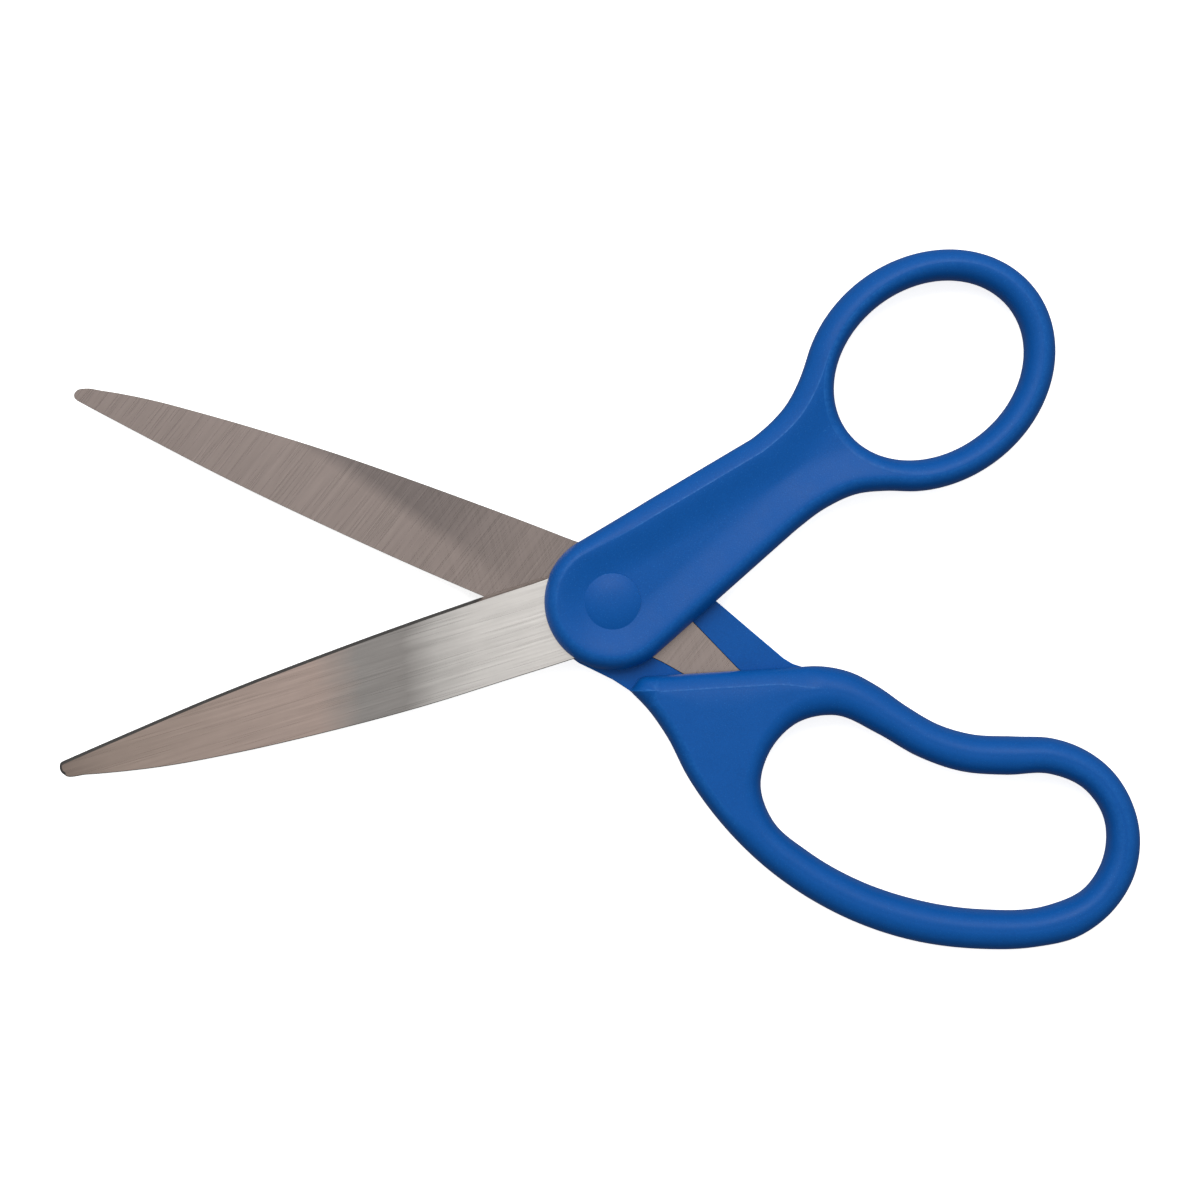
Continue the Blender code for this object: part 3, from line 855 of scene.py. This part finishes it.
def turned_rivet(size):
    """The rivet: a flat end with a centre mark, a shank, and a head under the dome."""
    head_low = RIVET_HIGH - RIVET_HEAD_THICK
    turn = size.edge_round
    deep = size.mark_depth
    mark = [(0, deep), (0.35 * MM, deep * 0.9), (0.8 * MM, deep * 0.5), (1.15 * MM, 0.03 * MM)]
    flat_end = [*mark, (1.35 * MM, 0)]
    flat_end += quarter(RIVET_END_R - turn, turn, turn, turn, -90)
    small, broad = 0.1 * MM, 0.5 * MM
    shoulder = quarter(RIVET_END_R - small, RIVET_END_THICK - small, small, small, 0, 3)
    shank = [(SHANK_R, RIVET_END_THICK), (SHANK_R, head_low), (RIVET_HEAD_R, head_low)]
    head = quarter(RIVET_HEAD_R - broad, RIVET_HIGH - broad, broad, broad, 0)
    return lathe("rivet_turned", [*flat_end, *shoulder, *shank, *head, (0, RIVET_HIGH)])


def pressed_washer(size):
    """The washer under the rivet's flat end, with rolled edges."""
    turn = min(size.edge_round, (WASHER_HIGH - WASHER_LOW) * 0.4)
    inside = SHANK_R + 0.2 * MM
    ring = [(inside, WASHER_LOW), *quarter(WASHER_R - turn, WASHER_LOW + turn, turn, turn, -90)]
    ring += quarter(WASHER_R - turn, WASHER_HIGH - turn, turn, turn, 0)
    return lathe("washer_pressed", [*ring, (inside, WASHER_HIGH), ring[0]])


# ---------------------------------------------------------------- surface marks


def outward_turn(vertex):
    """How tightly the surface turns outwards at a point, in radians per millimetre."""
    tightest = 0.0
    for edge in vertex.link_edges:
        if len(edge.link_faces) == 2:
            a, b = edge.link_faces
            apart = (a.calc_center_median() - b.calc_center_median()).length / MM
            turn = edge.calc_face_angle_signed(0.0) / max(0.1, min(apart, 0.6))
            tightest = max(tightest, turn)
    return tightest


def mark_edges(item):
    """Stores where the surface turns outwards tightly, which the finishes read as wear, and the plastic
    also as a painted highlight along its crests.

    The flat webs and faces take none, because they have no points away from their edges.
    """
    mesh = bmesh.new()
    mesh.from_mesh(item.data)
    worn = mesh.loops.layers.float.new(WEAR)
    for vertex in mesh.verts:
        value = min(1.0, max(0.0, outward_turn(vertex) / 0.9 - 0.35))
        for corner in vertex.link_loops:
            corner[worn] = 0.0 if abs(corner.face.normal.z) > 0.9999 else value
    mesh.to_mesh(item.data)
    mesh.free()


# ---------------------------------------------------------------- finishes


def wire(tree, socket, value):
    """Links a socket from another, or sets its value."""
    if isinstance(value, bpy.types.NodeSocket):
        tree.links.new(value, socket)
    else:
        socket.default_value = value


def put(tree, kind, inputs, **settings):
    """A new node with its settings and inputs. Returns its first output."""
    made = tree.nodes.new(kind)
    for name, value in settings.items():
        setattr(made, name, value)
    for name, value in inputs.items():
        wire(tree, made.inputs[name], value)
    return made.outputs[0]


def grain(tree, vector, scale, detail=2.0):
    """Noise from 0 to 1 on a vector."""
    inputs = {"Vector": vector, "Scale": scale, "Detail": detail, "Roughness": 0.55}
    return put(tree, "ShaderNodeTexNoise", inputs)


def ranged(tree, value, low, high, to_low, to_high):
    """A value's range changed to another, and kept within it."""
    inputs = {"Value": value, "From Min": low, "From Max": high, "To Min": to_low, "To Max": to_high}
    return put(tree, "ShaderNodeMapRange", inputs, clamp=True)


def maths(tree, operation, a, b):
    """Two values put through one sum."""
    return put(tree, "ShaderNodeMath", {0: a, 1: b}, operation=operation)


def times(tree, a, b):
    """One value times another."""
    return maths(tree, "MULTIPLY", a, b)


def plus(tree, a, b):
    """One value plus another."""
    return maths(tree, "ADD", a, b)


def parts(tree, vector):
    """A vector's X, Y and Z."""
    split = tree.nodes.new("ShaderNodeSeparateXYZ")
    wire(tree, split.inputs[0], vector)
    return split.outputs


def blend(tree, share, low, high, mode="MIX"):
    """Mixes two colours by a share."""
    made = tree.nodes.new("ShaderNodeMix")
    made.data_type = "RGBA"
    made.blend_type = mode
    for index, value in ((0, share), (6, low), (7, high)):
        wire(tree, made.inputs[index], value)
    return made.outputs[2]


def laid(tree, turn, scale=(1, 1, 1)):
    """Object coordinates turned back by turn, then scaled: the half's own closed place."""
    coordinates = tree.nodes.new("ShaderNodeTexCoord").outputs["Object"]
    turned = put(tree, "ShaderNodeMapping", {"Vector": coordinates, "Rotation": (0, 0, -turn)})
    return put(tree, "ShaderNodeMapping", {"Vector": turned, "Scale": scale})


def tint(colour, factor):
    """A colour made lighter or darker, with its alpha."""
    return (*(min(1.0, c * factor) for c in colour), 1.0)


def new_finish(name):
    """An empty finish: the material, its tree and its shader."""
    material = bpy.data.materials.new(name)
    material.use_nodes = True
    return material, material.node_tree, material.node_tree.nodes["Principled BSDF"]


def wear_and_highlight(tree, vector, scale):
    """Wear along the edges, broken up by noise, which the plastic also uses as a painted highlight along
    its crests.
    """
    worn = tree.nodes.new("ShaderNodeAttribute")
    worn.attribute_name = WEAR
    patchy = ranged(tree, grain(tree, vector, scale, 4.0), 0.38, 0.62, 0.2, 1.0)
    return times(tree, worn.outputs["Fac"], patchy)


def raise_relief(tree, shader, height, strength, distance):
    """Turns a height into the finish's fine relief."""
    bump = {"Strength": strength, "Distance": distance, "Height": height}
    wire(tree, shader.inputs["Normal"], put(tree, "ShaderNodeBump", bump))


def moulded_plastic(name, size, turn):
    """Satin moulded plastic: fine spark texture, faint flow mottling, tiny painted glints, and rubbed
    crests with a painted highlight.
    """
    material, tree, shader = new_finish(name)
    place = laid(tree, turn)
    mottle = grain(tree, place, 210, 4.0)
    fine = grain(tree, place, 4200, 2.0)
    # Tiny painted glints: small lighter specks over the plastic's texture.
    painted_glints = ranged(tree, grain(tree, place, 5200, 0.0), 0.72, 0.82, 0.0, 0.30)
    # Rubbed crests: wear, and a painted highlight line along each crest.
    rubbed_and_crest_highlight = times(tree, wear_and_highlight(tree, place, 1500), 0.45)
    base = size.plastic_colour
    colour = blend(tree, mottle, tint(base, 0.90), tint(base, 1.10))
    colour = blend(tree, ranged(tree, fine, 0.3, 0.7, 0.0, 0.6), colour, tint(base, 1.25))
    colour = blend(tree, painted_glints, colour, (*size.plastic_rub_and_highlight, 1))
    wire(tree, shader.inputs["Base Color"], blend(tree, rubbed_and_crest_highlight, colour, (*size.plastic_rub_and_highlight, 1)))
    matt = ranged(tree, mottle, 0.3, 0.7, size.plastic_roughness - 0.04, size.plastic_roughness + 0.05)
    polished = times(tree, rubbed_and_crest_highlight, 0.3)
    wire(tree, shader.inputs["Roughness"], maths(tree, "SUBTRACT", matt, polished))
    shader.inputs["Specular IOR Level"].default_value = size.plastic_gloss
    relief = plus(tree, fine, times(tree, mottle, 0.8))
    raise_relief(tree, shader, relief, 0.55, 0.04 * MM)
    return material


def along_blade(tree, turn):
    """Distance along the blade from the rivet, and the distance across it."""
    place = parts(tree, laid(tree, turn))
    return place["X"], place["Y"]


def polish_lines(tree, turn, lean, length, width):
    """Fine lines that lean from the blade's length by an angle, about this long and wide."""
    return grain(tree, laid(tree, turn + math.radians(lean), (1 / length, 1 / width, 1 / length)), 1.0, 3.0)


def bevel_shade_mask(tree):
    """Where painted shade goes: 1 on the ground bevel and the blade's sides, 0 on its flat faces."""
    normal = parts(tree, tree.nodes.new("ShaderNodeTexCoord").outputs["Normal"])
    return ranged(tree, maths(tree, "ABSOLUTE", normal["Z"], 0.0), 0.70, 0.95, 1.0, 0.0)


def steel_surface(tree, shader, colour, lines, size, turn, depth):
    """The blades' shared finish: painted shade on the ground bevels and sides, bright nicks, and roughness
    from the lines.
    """
    # Painted shade: a dark colour with lighter lines on the tilted bevels and sides.
    ground = blend(tree, lines, (*size.bevel_shade_colour, 1), tint(size.bevel_shade_colour, 1.5))
    colour = blend(tree, bevel_shade_mask(tree), colour, ground)
    nicks = times(tree, wear_and_highlight(tree, laid(tree, turn), 700), 0.10)
    wire(tree, shader.inputs["Base Color"], blend(tree, nicks, colour, (0.75, 0.73, 0.70, 1)))
    shader.inputs["Metallic"].default_value = 1.0
    rough = ranged(tree, lines, 0.3, 0.7, size.steel_roughness - 0.05, size.steel_roughness + 0.09)
    wire(tree, shader.inputs["Roughness"], rough)
    raise_relief(tree, shader, lines, depth, 0.012 * MM)


def banded(tree, value, stops):
    """Colours along a value, blended from each stop to the next."""
    ramp = tree.nodes.new("ShaderNodeValToRGB")
    wire(tree, ramp.inputs[0], value)
    made = ramp.color_ramp.elements
    for element, (position, colour) in zip(made, (stops[0], stops[-1])):
        element.position = position
        element.color = colour
    for position, colour in stops[1:-1]:
        made.new(position).color = colour
    return ramp.outputs[0]


def front_reflection_bands(size):
    """The front blade's colours, with the studio's reflection painted in, from its tip (0) to the rivet
    (1).
    """
    return (
        (0.0, tint(size.front_tip_reflection, 0.75)),
        (0.08, tint(size.front_tip_reflection, 1.0)),
        (0.40, (*size.front_middle_reflection, 1)),
        (0.46, (*size.front_middle_reflection, 1)),
        (0.54, (*size.front_dark_reflection, 1)),
        (0.62, (*size.front_dark_reflection, 1)),
        (0.68, tint(size.front_root_reflection, 0.72)),
        (0.75, tint(size.front_root_reflection, 0.91)),
        (0.85, (*size.front_root_reflection, 1)),
    )


def front_blade_steel(size):
    """Lengthwise polished steel with a painted reflection: warm to half way, then a dark band, then bright
    to the handle.
    """
    material, tree, shader = new_finish("front_blade_steel")
    along, across = along_blade(tree, THUMB_TURN)
    lines = polish_lines(tree, THUMB_TURN, 0, 16 * MM, 0.22 * MM)
    hair = polish_lines(tree, THUMB_TURN, 1.5, 8 * MM, 0.12 * MM)
    broad = polish_lines(tree, THUMB_TURN, 0, 35 * MM, 1.3 * MM)
    slanted = plus(tree, along, times(tree, across, -0.25))
    uneven = plus(tree, slanted, ranged(tree, broad, 0.3, 0.7, -0.0008, 0.0008))
    # Painted reflection: colour bands along the blade, slanting across it and with uneven edges.
    bands = banded(tree, ranged(tree, uneven, -0.100, 0.0, 0.0, 1.0), front_reflection_bands(size))
    shade = plus(tree, lines, times(tree, plus(tree, broad, hair), 0.5))
    shade = ranged(tree, shade, 0.7, 1.3, 0.972, 1.028)
    cloudy = ranged(tree, grain(tree, laid(tree, 0), 330, 3.0), 0.3, 0.7, 0.98, 1.02)
    shade = times(tree, shade, cloudy)
    colour = blend(tree, 1.0, bands, shade, "MULTIPLY")
    steel_surface(tree, shader, colour, lines, size, THUMB_TURN, 0.05)
    return material


def back_blade_steel(size):
    """Cross-ground steel: slanting grinding lines, crossed by others near the rivet."""
    material, tree, shader = new_finish("back_blade_steel")
    along, across = along_blade(tree, FINGER_TURN)
    slant = polish_lines(tree, FINGER_TURN, GRIND_ANGLE, 12 * MM, 0.16 * MM)
    broad = polish_lines(tree, FINGER_TURN, GRIND_ANGLE, 30 * MM, 0.7 * MM)
    crossing = polish_lines(tree, FINGER_TURN, 124, 9 * MM, 0.18 * MM)
    scratches = polish_lines(tree, FINGER_TURN, GRIND_ANGLE - 1, 9 * MM, 0.12 * MM)
    near_rivet = ranged(tree, along, -0.050, -0.025, 0.0, 0.5)
    crossed = times(tree, maths(tree, "SUBTRACT", crossing, 0.5), near_rivet)
    lines = plus(tree, slant, crossed)
    deep = ranged(tree, scratches, 0.66, 0.74, 0.0, 0.20)
    from_band = plus(tree, across, times(tree, plus(tree, along, 0.034), 0.235))
    off_band = ranged(tree, from_band, -0.0008, 0.0020, 0.0, 1.0)
    dull = times(tree, off_band, ranged(tree, along, -0.006, 0.006, 1.0, 0.0))
    towards_rivet = ranged(tree, along, -0.036, -0.018, 0.0, 0.75)
    duller = blend(tree, towards_rivet, (*size.back_dull, 1), (*size.back_colour, 1))
    colour = blend(tree, dull, (*size.back_colour, 1), duller)
    shade = ranged(tree, plus(tree, lines, broad), 0.7, 1.3, 0.96, 1.04)
    # Painted reflection and light: darker towards the tip, and lighter on the tang.
    shade = times(tree, shade, ranged(tree, along, -0.100, -0.052, 0.86, 1.05))
    shade = times(tree, shade, ranged(tree, along, 0.0, 0.010, 1.0, 1.18))
    colour = blend(tree, 1.0, colour, shade, "MULTIPLY")
    colour = blend(tree, deep, colour, tint(size.back_colour, 1.6))
    steel_surface(tree, shader, colour, lines, size, FINGER_TURN, 0.07)
    return material


def turned_steel(name, size, groove):
    """Steel with the fine circular grooves of a lathe, and dull patches."""
    material, tree, shader = new_finish(name)
    place = laid(tree, 0)
    flat = put(tree, "ShaderNodeVectorMath", {0: place, 1: (1, 1, 0)}, operation="MULTIPLY")
    measured = tree.nodes.new("ShaderNodeVectorMath")
    measured.operation = "LENGTH"
    wire(tree, measured.inputs[0], flat)
    rings = grain(tree, put(tree, "ShaderNodeCombineXYZ", {0: measured.outputs["Value"]}), 1 / groove, 2.0)
    dull = grain(tree, place, 500, 4.0)
    base = size.steel_colour
    uneven = times(tree, plus(tree, rings, dull), 0.5)
    colour = blend(tree, uneven, tint(base, 0.72), tint(base, 1.2))
    worn = times(tree, wear_and_highlight(tree, place, 900), 0.4)
    wire(tree, shader.inputs["Base Color"], blend(tree, worn, colour, (0.85, 0.85, 0.85, 1)))
    shader.inputs["Metallic"].default_value = 1.0
    wire(tree, shader.inputs["Roughness"], ranged(tree, dull, 0.3, 0.7, 0.24, 0.42))
    raise_relief(tree, shader, rings, 0.3, 0.012 * MM)
    return material


def floor_paper(colour, glow):
    """Plain pale paper with the faintest fibre."""
    material, tree, shader = new_finish("floor_paper")
    place = laid(tree, 0)
    fibre = grain(tree, place, 900, 3.0)
    wire(tree, shader.inputs["Base Color"], blend(tree, fibre, tint(colour, 0.985), tint(colour, 1.0)))
    shader.inputs["Roughness"].default_value = 0.9
    shader.inputs["Specular IOR Level"].default_value = 0.1
    shader.inputs["Emission Color"].default_value = (1, 1, 1, 1)
    shader.inputs["Emission Strength"].default_value = glow
    return material


# ---------------------------------------------------------------- stage


def soft_sky(size):
    """Light from all round: stronger from +Y and straight above, and weak from below."""
    world = bpy.data.worlds.new("soft_sky")
    world.use_nodes = True
    tree = world.node_tree
    direction = parts(tree, tree.nodes.new("ShaderNodeTexCoord").outputs["Generated"])
    overhead = ranged(tree, direction["Z"], 0.80, 0.97, size.sky, size.overhead)
    towards = ranged(tree, direction["Y"], -0.8, 0.8, 1 - size.slant, 1 + size.slant)
    above = ranged(tree, direction["Z"], -0.25, 0.25, size.underlight, 1.0)
    towards = times(tree, towards, above)
    background = tree.nodes["Background"]
    background.inputs["Color"].default_value = (1, 1, 1, 1)
    wire(tree, background.inputs["Strength"], times(tree, overhead, towards))
    bpy.context.scene.world = world


def far_panel(size):
    """A large rectangular lamp at +Y, aimed at the rivet."""
    lamp = bpy.data.lights.new("far_panel", "AREA")
    lamp.shape = "RECTANGLE"
    lamp.size, lamp.size_y = PANEL_SIZE
    lamp.energy = size.panel_power
    item = bpy.data.objects.new("far_panel", lamp)
    item.location = PANEL_PLACE
    item.rotation_euler = (-item.location).to_track_quat("-Z", "Y").to_euler()
    bpy.context.scene.collection.objects.link(item)


def overhead_camera(size):
    """A long lens straight above the scissors."""
    camera = bpy.data.cameras.new("overhead_camera")
    camera.lens = 120
    camera.sensor_width = 36
    item = bpy.data.objects.new("overhead_camera", camera)
    item.location = (*CAMERA_OVER, HANDLE_TOP / 2 + size.camera_height)
    bpy.context.scene.collection.objects.link(item)
    bpy.context.scene.camera = item


def floor(size):
    """A wide sheet just under the scissors, which neither lights them nor is reflected in them."""
    mesh = bmesh.new()
    bmesh.ops.create_grid(mesh, x_segments=2, y_segments=2, size=FLOOR_HALF)
    bmesh.ops.translate(mesh, verts=mesh.verts, vec=(0, 0, -FLOOR_DROP))
    item = finished("floor", mesh)
    item.data.materials.append(floor_paper(size.floor_colour, size.floor_glow))
    item.visible_diffuse = False
    item.visible_glossy = False


# ---------------------------------------------------------------- settings


LENGTH = {"unit": "LENGTH", "precision": 5}
COLOUR = {"size": 3, "subtype": "COLOR", "min": 0, "max": 1}
SHARE = {"subtype": "FACTOR", "min": 0, "max": 1}


class ScissorsHandleSettings(bpy.types.PropertyGroup):
    """Sizes and colours of the moulded handles"""

    edge_width: FloatProperty(
        name="Edge Width",
        description="Width of the rounding along the handles' edges",
        default=2.45 * MM,
        **LENGTH,
    )
    upper_edge: FloatProperty(
        name="Upper Edge",
        description="Width of the broad slope along the thumb handle's upper edge",
        default=3.00 * MM,
        **LENGTH,
    )
    dish_depth: FloatProperty(
        name="Dish Depth",
        description="Depth of the dish in the thumb handle's front",
        default=1.20 * MM,
        **LENGTH,
    )
    dish_wall: FloatProperty(
        name="Dish Wall",
        description="Distance over which the dish falls from its crest to its floor",
        default=6.5 * MM,
        **LENGTH,
    )
    dome_radius: FloatProperty(
        name="Dome Radius",
        description="Radius of the dome over the rivet",
        default=4.9 * MM,
        **LENGTH,
    )
    dome_height: FloatProperty(
        name="Dome Height",
        description="Height of the dome above the dish's floor",
        default=0.80 * MM,
        **LENGTH,
    )
    plastic_colour: FloatVectorProperty(
        name="Plastic Colour",
        description="Colour of the moulded handles",
        default=(0.001, 0.0715, 0.296),
        **COLOUR,
    )
    # Lighter plastic for rubbed crests, which also paints their highlight line and the tiny glints.
    plastic_rub_and_highlight: FloatVectorProperty(
        name="Rubbed and Highlight Colour",
        description="Colour of the plastic where it is rubbed along its crests",
        default=(0.03, 0.20, 0.55),
        **COLOUR,
    )
    plastic_gloss: FloatProperty(
        name="Plastic Gloss",
        description="Strength of the moulded handles' reflections",
        default=0.14,
        **SHARE,
    )
    plastic_roughness: FloatProperty(
        name="Plastic Roughness",
        description="How matt the moulded handles are",
        default=0.42,
        **SHARE,
    )


class ScissorsBladeSettings(bpy.types.PropertyGroup):
    """Sizes and colours of the blades"""

    bevel_width: FloatProperty(
        name="Bevel Width",
        description="Width of the ground bevel along each cutting edge",
        default=0.58 * MM,
        **LENGTH,
    )
    edge_break: FloatProperty(
        name="Edge Break",
        description="Width of the small chamfer on the blades' other edges",
        default=0.12 * MM,
        **LENGTH,
    )
    land: FloatProperty(
        name="Land",
        description="Height of the upright face at the cutting edge",
        default=0.20 * MM,
        **LENGTH,
    )
    # The front blade's four colours are steel with the studio's reflection painted in; this one at the tip.
    front_tip_reflection: FloatVectorProperty(
        name="Front Blade Tip",
        description="Colour of the front blade's steel at its tip",
        default=(0.320, 0.253, 0.217),
        **COLOUR,
    )
    # Painted reflection, half way along.
    front_middle_reflection: FloatVectorProperty(
        name="Front Blade Middle",
        description="Colour of the front blade's steel half way along",
        default=(0.394, 0.309, 0.272),
        **COLOUR,
    )
    # Painted reflection: the dark band.
    front_dark_reflection: FloatVectorProperty(
        name="Front Blade Band",
        description="Colour of the dark band across the front blade",
        default=(0.268, 0.252, 0.240),
        **COLOUR,
    )
    # Painted reflection, bright next to the handle.
    front_root_reflection: FloatVectorProperty(
        name="Front Blade Root",
        description="Colour of the front blade's steel next to the handle",
        default=(0.660, 0.632, 0.602),
        **COLOUR,
    )
    back_colour: FloatVectorProperty(
        name="Back Blade",
        description="Colour of the back blade's steel",
        default=(0.250, 0.207, 0.190),
        **COLOUR,
    )
    back_dull: FloatVectorProperty(
        name="Back Blade Dull",
        description="Colour of the duller steel beside the back blade's spine",
        default=(0.166, 0.141, 0.133),
        **COLOUR,
    )
    # The dark colour that paints shade on the ground bevels and the blades' sides.
    bevel_shade_colour: FloatVectorProperty(
        name="Bevel Shade Colour",
        description="Colour of the ground bevels and the blades' sides",
        default=(0.120, 0.111, 0.105),
        **COLOUR,
    )
    steel_roughness: FloatProperty(
        name="Steel Roughness",
        description="How matt the blades' polish is",
        default=0.30,
        **SHARE,
    )


class ScissorsRivetSettings(bpy.types.PropertyGroup):
    """Sizes and colour of the rivet and its washer"""

    edge_round: FloatProperty(
        name="Edge Round",
        description="Radius of the rivet's and the washer's rounded edges",
        default=0.35 * MM,
        **LENGTH,
    )
    mark_depth: FloatProperty(
        name="Centre Mark Depth",
        description="Depth of the centre mark in the rivet's flat end",
        default=0.25 * MM,
        **LENGTH,
    )
    steel_colour: FloatVectorProperty(
        name="Rivet Colour",
        description="Colour of the rivet's and the washer's steel",
        default=(0.60, 0.60, 0.61),
        **COLOUR,
    )


class ScissorsStageSettings(bpy.types.PropertyGroup):
    """Floor, light and camera"""

    floor_colour: FloatVectorProperty(
        name="Floor Colour",
        description="Colour of the sheet under the scissors",
        default=(0.93, 0.93, 0.93),
        **COLOUR,
    )
    floor_glow: FloatProperty(
        name="Floor Glow",
        description="Light given off by the floor, which keeps it near white",
        default=0.72,
        min=0,
    )
    sky: FloatProperty(
        name="Sky Light",
        description="Strength of the light from all round",
        default=0.62,
        min=0,
    )
    overhead: FloatProperty(
        name="Overhead Light",
        description="Strength of the light from straight above",
        default=0.72,
        min=0,
    )
    underlight: FloatProperty(
        name="Underlight",
        description="Share of the sky's light that also comes from below",
        default=0.30,
        **SHARE,
    )
    slant: FloatProperty(
        name="Slant",
        description="How much stronger the light is from +Y than from -Y",
        default=0.50,
        **SHARE,
    )
    panel_power: FloatProperty(
        name="Panel Power",
        description="Power of the large lamp at +Y",
        default=6.0,
        unit="POWER",
        min=0,
    )
    camera_height: FloatProperty(
        name="Camera Height",
        description="Height of the camera above the scissors' middle",
        default=0.70,
        unit="LENGTH",
    )


# ---------------------------------------------------------------- operators


class SCISSORS_OT_thumb_handle(bpy.types.Operator):
    """Mould the thumb handle with its ring, dish and dome"""

    bl_idname = "scissors.thumb_handle"
    bl_label = "Thumb Handle"

    def execute(self, context):
        size = context.scene.scissors_handle
        plastic = moulded_plastic("thumb_plastic", size, THUMB_TURN)
        placed(moulded_thumb_handle(size), "thumb_half", "thumb_handle", plastic)
        return {"FINISHED"}


class SCISSORS_OT_finger_handle(bpy.types.Operator):
    """Mould the finger handle with its long loop and its ledge"""

    bl_idname = "scissors.finger_handle"
    bl_label = "Finger Handle"

    def execute(self, context):
        size = context.scene.scissors_handle
        plastic = moulded_plastic("finger_plastic", size, FINGER_TURN)
        placed(moulded_finger_handle(size), "finger_half", "finger_handle", plastic)
        return {"FINISHED"}


class SCISSORS_OT_blades(bpy.types.Operator):
    """Stamp and grind the two blades"""

    bl_idname = "scissors.blades"
    bl_label = "Blades"

    def execute(self, context):
        size = context.scene.scissors_blade
        front = ground_front_blade(size)
        back = ground_back_blade(size)
        placed(front, "thumb_half", "front_blade", front_blade_steel(size))
        placed(back, "finger_half", "back_blade", back_blade_steel(size))
        return {"FINISHED"}


class SCISSORS_OT_rivet(bpy.types.Operator):
    """Turn the rivet and its washer"""

    bl_idname = "scissors.rivet"
    bl_label = "Rivet and Washer"

    def execute(self, context):
        size = context.scene.scissors_rivet
        fine = turned_steel("rivet_turned_steel", size, 0.09 * MM)
        coarse = turned_steel("washer_steel", size, 0.14 * MM)
        placed(turned_rivet(size), "thumb_half", "pivot_rivet", fine)
        placed(pressed_washer(size), "thumb_half", "rivet_washer", coarse)
        return {"FINISHED"}


class SCISSORS_OT_stage(bpy.types.Operator):
    """Set the floor, the soft light and the camera"""

    bl_idname = "scissors.stage"
    bl_label = "Stage"

    def execute(self, context):
        size = context.scene.scissors_stage
        floor(size)
        soft_sky(size)
        far_panel(size)
        overhead_camera(size)
        context.scene.view_settings.view_transform = "Standard"
        return {"FINISHED"}


class SCISSORS_PT_panel(bpy.types.Panel):
    """Lists the steps that make the scissors"""

    bl_label = "Office Scissors"
    bl_idname = "SCISSORS_PT_panel"
    bl_space_type = "VIEW_3D"
    bl_region_type = "UI"
    bl_category = "Scissors"

    def draw(self, context):
        for operator in OPERATORS:
            self.layout.operator(operator.bl_idname)


SETTINGS = {
    "scissors_handle": ScissorsHandleSettings,
    "scissors_blade": ScissorsBladeSettings,
    "scissors_rivet": ScissorsRivetSettings,
    "scissors_stage": ScissorsStageSettings,
}
OPERATORS = (
    SCISSORS_OT_thumb_handle,
    SCISSORS_OT_finger_handle,
    SCISSORS_OT_blades,
    SCISSORS_OT_rivet,
    SCISSORS_OT_stage,
)


def register():
    """Registers the classes, and gives the scene its settings."""
    for group in (*SETTINGS.values(), *OPERATORS, SCISSORS_PT_panel):
        bpy.utils.register_class(group)
    for name, group in SETTINGS.items():
        setattr(bpy.types.Scene, name, PointerProperty(type=group))


def unregister():
    """Takes the settings and the classes away again."""
    for name in SETTINGS:
        delattr(bpy.types.Scene, name)
    for group in (SCISSORS_PT_panel, *reversed(OPERATORS), *SETTINGS.values()):
        bpy.utils.unregister_class(group)


def main():
    """Makes the stage and every piece."""
    register()
    bpy.ops.scissors.stage()
    bpy.ops.scissors.blades()
    bpy.ops.scissors.rivet()
    bpy.ops.scissors.thumb_handle()
    bpy.ops.scissors.finger_handle()


if __name__ == "__main__":
    main()
